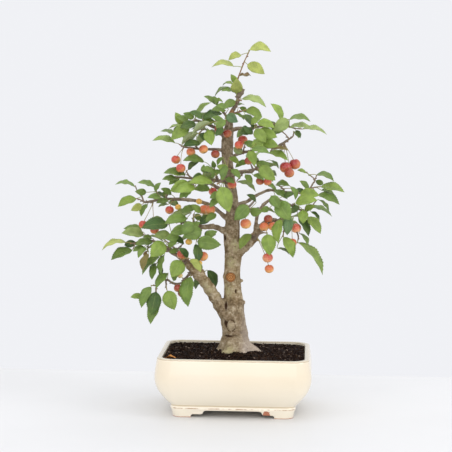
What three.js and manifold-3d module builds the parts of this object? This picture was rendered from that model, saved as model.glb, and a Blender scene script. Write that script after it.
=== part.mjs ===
// A crabapple bonsai in a cream glazed pot: pot, drain meshes, soil, the wood, leafy sprays and fruit.
// Millimetres, +Z up, front towards -Y. The origin is the middle of the bounding box, on the ground.
import * as THREE from 'three';
import { mergeVertices } from 'three/addons/utils/BufferGeometryUtils.js';
import Module from 'manifold-3d';

const wasm = await Module();
wasm.setup();

// ---- driving sizes -------------------------------------------------------------------------------

const CLEARANCE = 0.3; // gap between neighbouring pieces
const JOIN_TOLERANCE = 0.125; // joins drop points that bend a face by less

const POT = {
  height: 90, // ground to lip
  halfDepthLess: 17, // the plan is this much shallower than wide, each way
  cornerRadius: 26, // plan corner at the lip
  floorUnder: 11, // underside of the floor
  floorTop: 19, // top of the floor
  cornerSteps: 3, // facets in a quarter corner
};

// outside of the pot as [height, half width]: feet, moulding, groove, belly and rolled lip
const POT_OUTSIDE = [
  [0, 90], [10, 92], [14, 93.6], [17, 92.7], [21, 96], [30, 104],
  [42, 112], [57, 116.4], [70, 115.8], [88, 113.2], [90, 111.4],
];
// inside of the pot as [height, half width], from the floor up to the lip
const POT_INSIDE = [
  [19, 84], [24, 91], [38, 101], [54, 107.2], [86, 105.2], [90, 106.6],
];

const BELLY = Math.max(...POT_OUTSIDE.map(([, halfWidth]) => halfWidth));

const FOOT = {
  gapHalf: 44, // half of the open gap between two feet on the long sides
  stepHalf: 62, // half width at the outer end of the raised step
  stepHeight: 5, // underside of the raised step
  gapHalfEnds: 30, // the same gap on the short ends
  stepHalfEnds: 44,
  wall: 15, // thickness of the foot ring
};

const DRAIN = { holeRadius: 8, x: 46, meshHalf: 15, meshThick: 1, meshHoles: 2, meshBar: 2.2 };

const SOIL = {
  edgeHeight: 86.2, // where the soil meets the wall of the pot
  edgeHalf: 104.7,
  moundHeight: 6.5, // rise towards the trunk
  moundRadius: 62,
  grainHeight: 1.1, // roughness of the crumbs
  bottom: 20.6,
};

// The front elevation is drawn in perspective, from an eye in front of the pot.
const EYE = { x: -12.8, distance: 2400, height: 485.3 };
// The tree stands turned in its pot, seen from above, and off its middle.
const TREE_TURN = THREE.MathUtils.degToRad(3);
const TREE_SHIFT = -3.5;
const TREE_PLACE = new THREE.Matrix4().makeTranslation(TREE_SHIFT, 0, 0)
  .multiply(new THREE.Matrix4().makeRotationZ(TREE_TURN));

const LEAF = {
  widthToLength: 0.54, // of a blade laid flat
  fold: 0.26, // rise of the margins over the midrib, as a slope
  arch: 0.09, // rise of the middle of the midrib, as a share of the length
  ribHalf: 0.6, // half thickness of the blade at the midrib
  petioleRadius: 0.75,
  petioleRoot: 0.5,
  petioleReach: 9, // how far back a petiole looks for its twig
};
// one margin of a blade, from base to tip, as [share of the length, share of the half width]
const LEAF_MARGIN = [[0.15, 0.66], [0.42, 1], [0.47, 0.83], [0.76, 0.6]];
const LEAF_RIB = [0.5]; // stations of the midrib between base and tip

const APPLE = { sides: 6, stalkRadius: 0.65, spurRadius: 1.2, spurLength: 1.6 };
// half section of a crabapple of diameter 1, from the calyx up to the stalk's dimple
const APPLE_SECTION = [[0, -0.44], [0.31, -0.42], [0.5, -0.06], [0.38, 0.36], [0, 0.36]];

const COLOURS = {
  pot: [0xf3ead8, 0.22], soil: [0x2f241d, 0.95], mesh: [0x3a3a3a, 0.7], wood: [0x85765d, 0.85],
  leaf: [0x6d8f42, 0.55], apple: [0xd2553f, 0.35], dryLeaf: [0xb8763a, 0.8],
};

// ---- the tree, as stations [x, z, depth, radius] in the front elevation ---------------------------

const TRUNK = [
  [3, 66, 0, 22], [3, 80, 0, 25], [3, 92, 0, 25], [2, 101, 0, 21.5], [3, 111, 0, 18.6],
  [1.5, 122, 0, 18.2], [0, 133, 0, 18], [-1.5, 144, 0, 18], [-0.5, 155, 0, 16.4], [-0.5, 166, 0, 14.8],
  [-1, 178, 0, 13.2], [-2, 190, 0, 12.6], [-3, 203, 0, 12.9], [-2.5, 216, 0, 12], [-1.8, 230, 0, 12.7],
  [-1.5, 243, 0, 13.4], [-3.5, 256, 0, 12.2], [-4, 268, 0, 11.6], [-3, 282, 0, 10.9], [-3, 300, 1, 9.4],
  [-4, 320, 1, 8.8], [-7, 343, 2, 8.7], [-10.5, 365, 2, 8.4], [-12, 385, 1, 8.2], [-12, 405, 0, 9],
  [-11, 422, 0, 7.8], [-9, 437, 0, 5], [-7.5, 448, 0, 3.8], [-4.2, 456, 0, 3.4],
];

// the branches that belong to the wood, each as far as its leafy end
const LIMBS = {
  lowerLeft: [
    [-4, 136, 0, 10], [-19, 156, -2, 10.4], [-27, 169, -4, 9.4], [-37, 184, -8, 8.6],
    [-46, 197, -12, 8.8], [-56, 209, -16, 9.2], [-65, 217, -18, 7.6], [-74, 225, -18, 4.6],
    [-84, 233, -18, 3.6], [-96, 240, -18, 3.2], [-106, 249, -18, 2.6],
  ],
  leftMiddle: [
    [-4, 268, 0, 6], [-15, 272, -2, 5], [-25, 277, -6, 4.3], [-36, 279, -12, 4], [-47, 278, -18, 3.8],
    [-60, 281, -22, 3.4], [-75, 285, -24, 2.6],
  ],
  leftHigh: [
    [-2, 282, 1, 4.5], [-15, 294, 3, 3.6], [-28, 305, 6, 3.4], [-44, 314, 8, 3.1], [-60, 318, 8, 2.9],
    [-82, 320, 4, 2.8],
  ],
  leftUpper: [[-8, 345, 0, 4], [-16, 347, -5, 3.2], [-22, 348, -8, 2.8]],
  leftTwig: [[-12, 393, 0, 4], [-22, 395, -3, 2.8], [-30, 396, -6, 2.4]],
  crownLeft: [[-11, 414, 0, 4], [-18, 420, -4, 3.3], [-24, 424, -6, 2.9]],
  rightMiddle: [
    [-1, 236, 0, 9], [12, 245, -2, 8], [21, 253, -4, 7.4], [29, 262, -6, 6.8], [34, 271, -8, 5.6],
    [42, 281, -10, 4.6], [53, 289, -12, 3.8], [64, 290, -14, 3],
  ],
  rightRiser: [
    [32, 268, -7, 3.6], [33, 288, -10, 2.8], [37, 303, -12, 2.6], [46, 315, -14, 2.4], [58, 322, -16, 2.4],
    [72, 318, -18, 2.4], [84, 313, -20, 2.2],
  ],
  rightDark: [
    [-3, 303, 1, 4.2], [9, 314, 4, 3.3], [18, 317, 6, 2.9], [28, 324, 8, 2.5], [39, 330, 9, 2.4],
    [51, 335, 8, 2.3], [64, 334, 5, 2.2],
  ],
  rightUpper: [[-9, 352, 0, 3.4], [2, 360, -8, 2.6], [10, 362, -12, 2.3]],
  rightSpur: [[-10, 382, 0, 3.2], [1, 388, -6, 2.6], [8, 390, -9, 2.3]],
  crownRight: [[-10, 423, 0, 3.4], [4, 428, -5, 2.9], [14, 428, -10, 2.5]],
  backLow: [[-3, 276, 0, 4.5], [5, 290, 28, 3.6], [14, 303, 56, 2.8]],
  backLeft: [[-4, 318, 1, 4], [-18, 333, 26, 3.2], [-32, 342, 48, 2.6]],
  backRight: [[-9, 353, 2, 3.6], [6, 362, 24, 2.9], [20, 364, 42, 2.4]],
  backTop: [[-12, 402, 0, 3], [-18, 414, 18, 2.4]],
  backEast: [[24, 256, -5, 4], [34, 268, 22, 3.1], [50, 280, 42, 2.6]],
  backWest: [[-56, 209, -16, 5], [-66, 222, 12, 3.1], [-80, 236, 32, 2.6]],
  frontHigh: [[-8, 342, 0, 3.2], [-11, 346, -14, 2.6]],
  frontRight: [[-3, 294, 0, 3.2], [2, 301, -14, 2.6]],
};

// ---- leafy sprays --------------------------------------------------------------------------------
// twigs: stations [x, z, depth, radius]. The first twig grows from the wood, the others from a twig
// before them. leaves: [base x, z, depth, tip x, z, depth, width seen from the front, 1 for the upper
// side towards the front or -1 for the underside, arch where it isn't the usual].

const SPRAYS = {
  leader: {
    twigs: [
      [
        [-4, 456, 0, 3.1], [2.2, 467, 0, 3], [3, 475, 0, 2.8], [1.5, 483, 0, 2], [2.5, 500, 0, 1.2],
        [5, 509, -1, 1.1], [12, 528, -1, 1], [19, 543, -2, 0.8],
      ],
      [[3, 470, 0, 1.5], [7, 470, -2, 1.1]],
      [[0, 464, 0, 1.5], [-1, 467, -4, 1]],
      [[3.2, 474, 0, 3.6], [7, 481, 0, 4.6], [9.6, 488, 0, 4.4]], // the stub of a pruned shoot
    ],
    leaves: [
      [20, 546, -2, 52, 544, -8, 13, 1, 0.2], [7, 538, -3, -12, 530, -10, 10, 1, 0.22],
      [-4, 521, -3, -37, 520, 2, 8, 1, 0.14], [17, 524, 0, 43, 510, -8, 16, 1, 0.12],
      [6, 507, 0, 23, 507, 7, 5], [1, 496, -4, -8, 509, -9, 9], [-5, 494, -4, -20, 492, 6, 3, 1, 0.2],
      [1, 481, -6, 1, 503, -15, 17], [-2, 482, -4, -22, 484, -12, 6, 1, 0.12],
      [-9, 489, 7, -33, 473, 10, 3, 1, 0.16], [9, 472, -3, 46, 461, -9, 10, 1, 0.13],
      [2, 462, 4, 13, 464, 14, 3], [-1, 469, -5, -20, 459, -13, 12],
    ],
  },
  top_right: {
    twigs: [[[-7, 450, 0, 2.2], [0, 451, -4, 1.6], [6, 453, -6, 1.4], [14, 455, -8, 1]]],
    leaves: [
      [16, 456, -9, 40, 446, -18, 13, 1, 0.13], [-1, 450, -8, 13, 441, -14, 4], [14, 449, -12, 27, 428, -20, 10],
      [6, 459, 2, 18, 452, 8, 7],
    ],
  },
  crown_top: {
    twigs: [
      [[-9, 438, 0, 2.6], [-17, 450, 2, 1.9], [-26, 461, 2, 1.5], [-31, 470, 2, 0.9]],
      [[-18, 452, 2, 1.6], [-20, 457, -4, 1.2], [-24, 459, -10, 0.9]],
    ],
    leaves: [
      [-31, 464, -2, -48, 476, -5, 7], [-31, 471, 4, -19, 467, 9, 4], [-28, 462, -6, -34, 476, -12, 6],
      [-16, 454, -10, -37, 455, -18, 9, 1, 0.15], [-21, 450, -12, -51, 440, -22, 11],
      [-14, 459, -12, -29, 462, -20, 8], [-12, 458, 8, -26, 462, 16, 6],
    ],
  },
  crown_left: {
    twigs: [
      [[-24, 424, -6, 2.7], [-34, 430, -10, 2.5], [-46, 435, -14, 2.3], [-60, 439, -16, 1.9], [-76, 433, -18, 1.3],
        [-80, 432, -19, 0.9]],
      [[-60, 439, -16, 1.6], [-66, 437, -22, 1.3], [-72, 431, -28, 1]],
      [[-45, 435, -15, 1.8], [-48, 428, -24, 1.4], [-54, 420, -30, 1]],
      [[-28, 427, -8, 1.8], [-20, 434, -17, 1.4], [-14, 440, -24, 1]],
    ],
    leaves: [
      [-61, 442, -12, -38, 467, -18, 7], [-80, 434, -18, -91, 451, -24, 12], [-63, 443, -18, -79, 450, -26, 10],
      [-71, 437, -24, -89, 444, -30, 9], [-60, 434, -24, -84, 428, -32, 12], [-70, 429, -30, -97, 410, -38, 17],
      [-80, 429, 0, -94, 420, 6, 11], [-89, 416, -16, -113, 423, -18, 5], [-78, 431, 4, -103, 425, 12, 3],
      [-38, 436, -28, -66, 417, -34, 10, -1], [-56, 420, -32, -82, 402, -38, 10, -1],
      [-41, 425, -32, -36, 402, -38, 16], [-39, 413, -18, -56, 419, -24, 11], [-32, 439, -22, -54, 431, -28, 11],
      [-36, 441, -10, -60, 447, -14, 8], [-13, 448, -26, 3, 437, -33, 14], [-18, 436, -24, -36, 444, -30, 8],
      [-20, 430, -22, -30, 416, -28, 10],
      [-16, 440, -30, -30, 428, -36, 11], [-50, 442, -18, -70, 452, -26, 9],
    ],
  },
  left_twig: {
    twigs: [
      [[-29, 396, -6, 2.2], [-46, 396, -10, 2], [-62, 397, -12, 1.8], [-76, 399, -12, 1.4], [-83, 402, -12, 0.9]],
      [[-58, 397, -12, 1.5], [-60, 404, -16, 1]],
    ],
    leaves: [
      [-91, 405, -12, -125, 409, -16, 8, 1, 0.1], [-60, 416, -18, -77, 403, -24, 7],
      [-53, 404, -24, -79, 401, -30, 10], [-66, 408, -14, -82, 416, -18, 8],
    ],
  },
  front_high: {
    twigs: [
      [[-11, 346, -13, 2.4], [-14, 348, -30, 2.1], [-20, 348, -44, 1.8], [-26, 344, -58, 1.2]],
      [[-13, 347, -24, 1.7], [-12, 358, -28, 1.4], [-12, 368, -30, 1]],
    ],
    leaves: [
      [-21, 339, -60, -8, 301, -72, 23], [-24, 330, -44, -38, 322, -50, 10], [-14, 352, -40, 0, 345, -48, 8],
      [-12, 367, -32, -28, 371, -38, 10], [-20, 384, -20, -27, 372, -24, 6], [-13, 371, -36, -19, 349, -44, 11],
      [-22, 322, -44, -38, 308, -52, 10], [-6, 366, -32, 8, 352, -40, 9], [-8, 384, -22, 6, 374, -30, 8],
    ],
  },
  left_upper: {
    twigs: [
      [[-22, 348, -8, 2.6], [-40, 350, -16, 2.4], [-60, 351, -20, 2.1], [-80, 353, -20, 1.6], [-92, 354, -18, 1]],
      [[-26, 349, -10, 1.8], [-29, 360, -18, 1.5], [-31, 366, -20, 1]],
      [[-64, 351, -20, 1.6], [-70, 356, -26, 1.3], [-73, 362, -30, 0.9]],
      [[-46, 350, -18, 1.8], [-48, 355, -28, 1.2]],
      [[-56, 351, -20, 1.8], [-60, 346, -32, 1.5], [-64, 341, -44, 1.1]],
      [[-40, 350, -17, 1.8], [-36, 345, -30, 1.4], [-32, 340, -38, 1]],
    ],
    leaves: [
      [-47, 377, -20, -79, 379, -26, 10, 1, 0.1], [-31, 368, -20, -34, 379, -24, 7],
      [-22, 364, -28, -36, 354, -36, 8], [-71, 365, -30, -54, 378, -36, 8], [-48, 361, -30, -47, 373, -36, 7],
      [-43, 360, -30, -39, 371, -38, 6], [-75, 357, -26, -108, 360, -32, 11], [-91, 352, -16, -102, 348, -18, 6],
      [-50, 357, -34, -64, 353, -40, 9], [-84, 352, -10, -100, 342, -14, 9], [-70, 345, -40, -98, 332, -50, 18],
      [-60, 338, -52, -92, 331, -62, 14], [-34, 346, -40, -70, 345, -48, 12], [-38, 336, -42, -62, 335, -50, 11],
      [-32, 352, -28, -52, 346, -34, 9], [-66, 336, -36, -84, 322, -44, 12],
      [-30, 360, -36, -52, 366, -44, 8], [-88, 350, -24, -110, 350, -30, 8],
    ],
  },
  far_left_high: {
    twigs: [
      [[-82, 320, 4, 2.6], [-105, 320, 0, 2.4], [-119, 318, -3, 2.2], [-128, 316, -4, 2], [-137, 315, -6, 1.6],
        [-141, 325, -6, 1.1], [-148, 333, -4, 0.9], [-150, 338, -4, 0.8]],
      [[-136, 315, -6, 1.4], [-144, 319, -6, 1], [-148, 320, -6, 0.8]],
      [[-112, 319, -2, 1.7], [-115, 326, -6, 1.2], [-119, 332, -8, 0.9]],
      [[-104, 320, 0, 1.7], [-103, 327, 4, 1.1]],
    ],
    leaves: [
      [-151, 338, -4, -181, 342, -8, 5, 1, 0.12], [-121, 338, -10, -147, 345, -14, 7],
      [-134, 330, -12, -151, 331, -18, 10], [-121, 332, -8, -112, 345, -10, 7], [-108, 326, 4, -122, 327, 8, 6],
      [-100, 330, 8, -111, 324, 14, 9], [-149, 320, -6, -177, 308, -12, 12], [-141, 311, -10, -157, 302, -18, 11],
      [-132, 312, -8, -142, 293, -14, 8], [-101, 318, -12, -119, 314, -20, 8], [-101, 312, -6, -116, 308, -8, 4],
      [-96, 327, -6, -112, 336, -10, 8],
      [-100, 316, -4, -84, 308, -14, 8], [-112, 322, -10, -132, 322, -18, 8],
    ],
  },
  left_middle_outer: {
    twigs: [
      [[-75, 285, -24, 2.4], [-84, 286, -26, 2], [-96, 284, -28, 1.5], [-104, 284, -28, 0.9]],
      [[-79, 285, -24, 1.8], [-82, 278, -34, 1.5], [-86, 270, -40, 1]],
    ],
    leaves: [
      [-101, 281, -30, -141, 276, -40, 17], [-107, 286, -26, -127, 289, -32, 8], [-97, 265, -24, -122, 265, -30, 13],
      [-72, 291, -32, -106, 283, -42, 14], [-74, 277, -42, -97, 268, -50, 15], [-66, 300, -26, -99, 288, -32, 10],
      [-84, 266, -46, -104, 259, -52, 13], [-92, 262, -38, -76, 252, -44, 9],
    ],
  },
  left_middle_front: {
    twigs: [[[-50, 279, -19, 2.6], [-54, 270, -34, 1.8], [-54, 262, -44, 1.2]]],
    leaves: [
      [-50, 273, -46, -78, 263, -56, 20], [-56, 256, -52, -20, 251, -62, 20], [-38, 273, -30, -42, 256, -38, 11],
      [-58, 252, -48, -56, 222, -58, 13], [-66, 274, -34, -52, 286, -40, 10],
      [-44, 262, -46, -26, 272, -52, 11],
    ],
  },
  left_middle_rise: {
    twigs: [[[-60, 281, -22, 2.6], [-62, 288, -34, 1.6], [-62, 296, -38, 1.1]]],
    leaves: [
      [-60, 307, -24, -82, 300, -30, 10], [-64, 285, -42, -80, 266, -50, 16], [-38, 296, -26, -53, 282, -32, 13],
      [-60, 297, -14, -48, 288, -18, 9],
      [-28, 298, -28, -44, 286, -36, 10], [-52, 300, -34, -66, 312, -40, 9],
    ],
  },
  far_left_middle: {
    twigs: [
      [[-106, 249, -18, 2.4], [-124, 256, -14, 2.1], [-138, 254, -12, 1.6], [-148, 253, -12, 1.2],
        [-156, 252, -12, 1]],
      [[-126, 256, -14, 1.5], [-132, 262, -12, 1.1], [-137, 265, -12, 0.9]],
      [[-128, 256, -14, 1.5], [-131, 248, -20, 1.1], [-131, 241, -24, 0.8]],
      [[-150, 253, -12, 1.1], [-153, 245, -14, 0.8]],
    ],
    leaves: [
      [-137, 265, -12, -171, 268, -18, 13], [-140, 270, -2, -168, 275, 2, 10], [-125, 260, -12, -139, 262, -18, 6],
      [-164, 253, -12, -201, 242, -16, 6, 1, 0.13], [-150, 254, -6, -167, 249, -4, 11],
      [-124, 254, -18, -151, 250, -24, 10], [-155, 242, -14, -187, 227, -22, 13], [-137, 247, -18, -154, 240, -24, 8],
      [-134, 246, -22, -146, 230, -28, 8], [-132, 241, -26, -134, 221, -30, 7], [-130, 236, -30, -139, 210, -36, 10],
    ],
  },
  low_left_upper: {
    twigs: [
      [[-101, 244, -18, 2.4], [-108, 240, -28, 1.5], [-111, 232, -32, 1.1], [-115, 222, -30, 0.8]],
      [[-104, 242, -22, 1.6], [-96, 244, -24, 1.2], [-89, 243, -24, 0.9]],
    ],
    leaves: [
      [-107, 254, -38, -127, 232, -50, 22], [-113, 232, -34, -140, 205, -40, 9], [-118, 222, -22, -128, 209, -26, 5],
      [-119, 219, -30, -125, 197, -36, 10], [-106, 235, -38, -111, 205, -46, 9], [-113, 218, -26, -112, 202, -30, 7],
      [-86, 243, -24, -99, 239, -30, 8], [-100, 248, -28, -86, 256, -32, 8],
    ],
  },
  low_left_lower: {
    twigs: [
      [[-62, 213, -18, 2.6], [-72, 201, -26, 2], [-77, 194, -32, 1.8], [-84, 191, -36, 1.8], [-93, 192, -38, 1.7],
        [-101, 197, -38, 1.6], [-110, 196, -38, 1.5], [-118, 186, -38, 1.3], [-118, 179, -40, 1.1],
        [-116, 172, -40, 0.8]],
      [[-104, 197, -38, 1.4], [-103, 188, -46, 1], [-102, 183, -48, 0.8]],
      [[-117, 187, -38, 1.1], [-124, 188, -40, 0.8]],
      [[-69, 205, -24, 1.6], [-65, 204, -36, 1.1]],
    ],
    leaves: [
      [-139, 171, -38, -157, 170, -42, 8], [-126, 186, -42, -141, 154, -50, 14], [-118, 178, -46, -125, 143, -54, 21],
      [-113, 163, -40, -127, 129, -48, 15], [-101, 180, -52, -90, 151, -60, 21], [-101, 207, -42, -119, 184, -50, 11],
      [-66, 202, -46, -70, 156, -56, 20],
      [-92, 196, -44, -84, 212, -50, 9],
    ],
  },
  low_left_front: {
    twigs: [
      [[-73, 224, -18, 3], [-78, 226, -34, 1.6], [-81, 228, -46, 1]],
      [[-76, 225, -26, 1.6], [-70, 229, -34, 1]],
    ],
    leaves: [
      [-80, 226, -50, -95, 201, -62, 22], [-66, 229, -38, -50, 209, -46, 10], [-70, 232, -34, -84, 246, -40, 9],
    ],
  },
  low_left_back: {
    twigs: [[[-46, 198, -8, 3.4], [-46, 206, 8, 1.6], [-45, 210, 16, 1.1]]],
    leaves: [[-50, 203, 12, -59, 183, 16, 9], [-40, 212, 16, -27, 186, 20, 13], [-48, 214, 24, -66, 224, 34, 10]],
  },
  crown_right: {
    twigs: [
      [[14, 428, -10, 2.3], [22, 428, -14, 2.1], [40, 432, -18, 2], [58, 435, -18, 1.8], [74, 434, -16, 1.4],
        [88, 429, -16, 0.9], [99, 428, -12, 0.8]],
      [[66, 435, -17, 1.4], [68, 439, -14, 1]],
      [[22, 428, -14, 1.8], [26, 431, -26, 1.5], [31, 433, -32, 1]],
      [[42, 432, -18, 1.8], [40, 424, -32, 1.4], [36, 418, -44, 1]],
    ],
    leaves: [
      [70, 442, -10, 53, 466, -16, 11], [81, 442, -12, 113, 440, -16, 8, 1, 0.15], [79, 442, -22, 57, 424, -30, 18],
      [82, 430, -16, 116, 429, -18, 7], [101, 428, -6, 138, 421, -8, 6], [91, 426, -14, 98, 414, -18, 6],
      [62, 428, -22, 46, 438, -28, 10], [33, 437, -32, 59, 430, -40, 12], [36, 425, -42, 63, 415, -50, 16],
      [30, 427, -46, 46, 407, -54, 16], [20, 428, -36, 7, 420, -44, 14], [22, 438, -26, 10, 448, -32, 8],
      [48, 418, -26, 70, 424, -30, 8], [26, 420, -30, 12, 430, -34, 9],
      [24, 436, -30, 40, 446, -36, 9], [16, 426, -30, 2, 414, -38, 9],
    ],
  },
  right_spur: {
    twigs: [
      [[8, 390, -9, 2.1], [14, 392, -12, 2], [28, 395, -16, 1.9], [45, 399, -18, 1.8], [60, 400, -18, 1.8],
        [70, 405, -18, 2.1], [79, 411, -18, 1.7], [87, 417, -18, 1.1], [88, 422, -16, 0.8]],
      [[14, 392, -12, 1.6], [18, 393, -24, 1.2], [20, 394, -32, 0.9]],
      [[11, 391, -11, 1.6], [13, 398, -18, 1.1], [15, 405, -22, 0.8]],
      [[44, 399, -18, 1.6], [38, 404, -34, 1.3], [33, 408, -48, 0.9]],
      [[57, 400, -18, 1.5], [54, 395, -24, 1]],
      [[71, 406, -18, 1.6], [73, 401, -22, 1], [78, 397, -22, 0.7]],
      [[82, 413, -18, 1.4], [76, 419, -20, 0.8], [71, 423, -20, 0.7]],
    ],
    leaves: [
      [51, 392, -28, 80, 381, -34, 10], [78, 396, -22, 56, 397, -26, 5], [88, 424, -14, 96, 414, -18, 5],
      [70, 424, -20, 58, 419, -26, 5], [11, 391, -22, -3, 399, -28, 12, -1], [21, 394, -38, 30, 372, -48, 13],
      [15, 408, -26, 31, 397, -32, 10], [40, 410, -38, 65, 402, -46, 15], [28, 411, -52, 42, 393, -60, 15],
      [24, 396, -42, 52, 391, -50, 9],
    ],
  },
  right_upper: {
    twigs: [
      [[10, 362, -12, 2.1], [18, 362, -16, 2], [25, 362, -20, 1.8], [33, 370, -26, 1.4], [37, 374, -36, 0.9]],
      [[12, 362, -13, 1.5], [8, 355, -13, 1.1], [4, 350, -12, 0.8]],
    ],
    leaves: [
      [32, 375, -36, 54, 371, -42, 12], [38, 371, -48, 61, 350, -58, 18], [54, 380, -24, 66, 368, -28, 4],
      [28, 358, -22, 44, 350, -28, 7], [19, 378, -22, 0, 369, -26, 8], [3, 347, -12, 32, 333, -16, 6, 1, 0.12],
      [16, 358, -22, 26, 344, -30, 9],
    ],
  },
  far_right_high: {
    twigs: [
      [[64, 334, 5, 2], [84, 332, -2, 1.9], [101, 333, -6, 1.8], [113, 338, -8, 1.5], [118, 346, -8, 1.2],
        [121, 352, -8, 1], [111, 360, -6, 0.8], [107, 363, -5, 0.7]],
      [[113, 338, -8, 1.2], [120, 340, -10, 1], [128, 341, -12, 0.8]],
      [[120, 350, -8, 1], [123, 357, -8, 0.8]],
      [[97, 333, -5, 1.5], [98, 331, -20, 1.3], [99, 330, -30, 1]],
      [[76, 333, 0, 1.5], [72, 338, -14, 1.2], [68, 341, -20, 0.9]],
    ],
    leaves: [
      [111, 336, -14, 98, 350, -20, 8], [107, 362, -4, 94, 366, -8, 5], [123, 359, -8, 150, 350, -14, 8, 1, 0.16],
      [122, 350, -2, 134, 345, 4, 8], [130, 341, -14, 166, 334, -22, 11], [131, 336, -8, 151, 329, -8, 6],
      [99, 331, -34, 128, 328, -42, 14], [126, 329, -18, 159, 315, -26, 11], [93, 337, -10, 106, 331, -14, 6],
      [84, 341, -26, 92, 321, -34, 8, 1, 0.16], [62, 343, -22, 83, 342, -30, 8, 1, 0.18],
      [48, 345, -2, 63, 334, -6, 6],
    ],
  },
  far_right_middle: {
    twigs: [
      [[84, 313, -20, 2], [94, 308, -20, 1.8], [102, 305, -20, 1.6], [110, 304, -18, 1.2], [122, 318, -14, 0.8]],
      [[88, 311, -20, 1.6], [90, 315, -34, 1.2]],
      [[104, 305, -20, 1.4], [110, 300, -26, 1]],
    ],
    leaves: [
      [92, 316, -42, 125, 321, -50, 14], [128, 321, -12, 143, 302, -16, 5], [112, 310, -12, 148, 297, -16, 5],
      [116, 303, -8, 129, 290, -10, 5], [111, 295, -30, 131, 270, -38, 14], [103, 305, -44, 104, 285, -52, 15],
      [97, 294, -36, 113, 266, -44, 12],
      [96, 312, -28, 84, 300, -36, 10], [106, 306, -30, 122, 312, -38, 9],
    ],
  },
  right_middle_high: {
    twigs: [[[62, 321, -17, 2.2], [64, 320, -32, 1.4], [65, 320, -42, 1]]],
    leaves: [
      [66, 318, -50, 84, 290, -60, 24], [55, 326, -40, 68, 308, -48, 15], [74, 326, -30, 90, 330, -36, 8],
      [52, 308, -30, 38, 303, -38, 9],
      [60, 334, -24, 80, 322, -32, 9],
    ],
  },
  right_trailing: {
    twigs: [
      [[64, 290, -14, 2.6], [76, 285, -16, 2.2], [86, 279, -17, 1.9], [94, 273, -18, 1.5], [97, 265, -24, 1.1],
        [96, 257, -28, 0.8]],
      [[70, 288, -15, 1.8], [72, 291, -34, 1.4], [73, 293, -44, 1]],
      [[77, 284, -16, 1.6], [75, 274, -32, 1.2], [74, 266, -38, 0.9]],
    ],
    leaves: [
      [99, 270, -22, 110, 247, -26, 6, 1, 0.18], [97, 256, -30, 136, 208, -40, 11], [70, 291, -54, 66, 255, -64, 14],
      [82, 294, -46, 80, 267, -54, 15], [75, 264, -42, 90, 233, -50, 15], [66, 247, -30, 84, 238, -34, 3],
    ],
  },
  right_front: {
    twigs: [
      [[2, 301, -13, 2.4], [8, 307, -28, 2], [16, 311, -42, 1.3], [18, 312, -46, 1]],
      [[8, 307, -28, 1.6], [16, 304, -30, 1.2], [22, 302, -30, 0.9]],
    ],
    leaves: [
      [20, 311, -50, 0, 289, -60, 19], [24, 301, -32, 42, 303, -40, 13], [32, 318, -20, 18, 328, -26, 7],
    ],
  },
  right_low: {
    twigs: [
      [[28, 261, -7, 5], [32, 265, -24, 1.8], [42, 270, -38, 1.2], [49, 270, -46, 0.9]],
      [[33, 265, -25, 1.4], [28, 268, -26, 1]],
    ],
    leaves: [[25, 268, -22, 8, 245, -30, 12], [50, 268, -50, 54, 236, -60, 21]],
  },
};

// ---- fruit: bunches as the spur point [x, z, depth] and apples [x, z, depth, diameter] ----------------

const BUNCHES = {
  crown_left: { spur: [-79, 398, -14], apples: [[-89.5, 380, -18, 14], [-82, 367, -34, 14.5]] },
  upper_left: { spur: [-56, 398, -12], apples: [[-67, 391.5, -20, 14], [-48, 396, -24, 14]] },
  upper_trunk_left: { spur: [-24, 398, -6], apples: [[-30, 389, -16, 13.5]] },
  under_crown: { spur: [-17, 431, -10], apples: [[-25, 427, -22, 14], [-12, 420, -18, 13.5]] },
  upper_front: { spur: [3, 426, -8], apples: [[11, 410.5, -18, 15], [5.5, 403, -30, 13.5]] },
  upper_right_small: { spur: [22, 393, -16], apples: [[20, 379, -28, 12]] },
  right_cluster: {
    spur: [74, 407, -18],
    apples: [[90, 375, -22, 17.5], [76.5, 370, -28, 18.5], [82, 361.5, -38, 15]],
  },
  right_inner_pair: { spur: [34, 369, -24], apples: [[38, 349, -20, 13], [49.5, 348, -28, 12.5]] },
  front_single: { spur: [-6, 357, -8], apples: [[-4.5, 343, -30, 14]] },
  left_trio: {
    spur: [-40, 313, 8],
    apples: [[-54, 317, -14, 9.5], [-46, 304.5, -14, 15.5], [-37, 304.5, -27, 15.5]],
  },
  centre_right: { spur: [14, 312, -36], apples: [[17, 284, -40, 16.5]] },
  left_pair: { spur: [-96, 319, 0], apples: [[-98.5, 303.5, -12, 13.5], [-85.5, 308, -10, 9.5]] },
  far_left_pair: { spur: [-124, 316, -4], apples: [[-138.5, 281, -24, 13.5], [-121, 273, -22, 13.5]] },
  right_trio: {
    spur: [46, 284, -10],
    apples: [[51, 291.5, -26, 13.5], [45, 279.5, -30, 14.5], [58, 280.5, -28, 14]],
  },
  right_hanging: { spur: [43, 266, -20], apples: [[51, 232.5, -40, 16], [53.5, 215.5, -36, 14]] },
  right_outer: { spur: [86, 279, -17], apples: [[93.5, 278, -36, 15.5], [88, 256, -34, 13.5]] },
  left_lower: {
    spur: [-66, 221, -20],
    apples: [[-79.5, 235.5, -34, 15], [-47, 233.5, -36, 15], [-52.5, 223, -48, 8.5]],
  },
  left_yellow: { spur: [-66, 281, -22], apples: [[-69, 255.5, -34, 10.5]] },
  low_pale: { spur: [-76, 197, -30], apples: [[-82, 204, -42, 8.5]] },
  low_pair: { spur: [-88, 191, -37], apples: [[-85, 184.5, -46, 12.5], [-79, 177, -40, 12.5]] },
  back_low: { spur: [10, 300, 52], apples: [[0, 281, 62, 15], [-6, 266, 70, 14]] },
  back_left: { spur: [-30, 342, 46], apples: [[-33, 332, 36, 13.5], [-20, 328, 54, 13]] },
  back_east: { spur: [48, 280, 42], apples: [[50, 252, 56, 15]] },
};

// ---- the back of the crown, drawn at random and kept out of the front outline --------------------------

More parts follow.
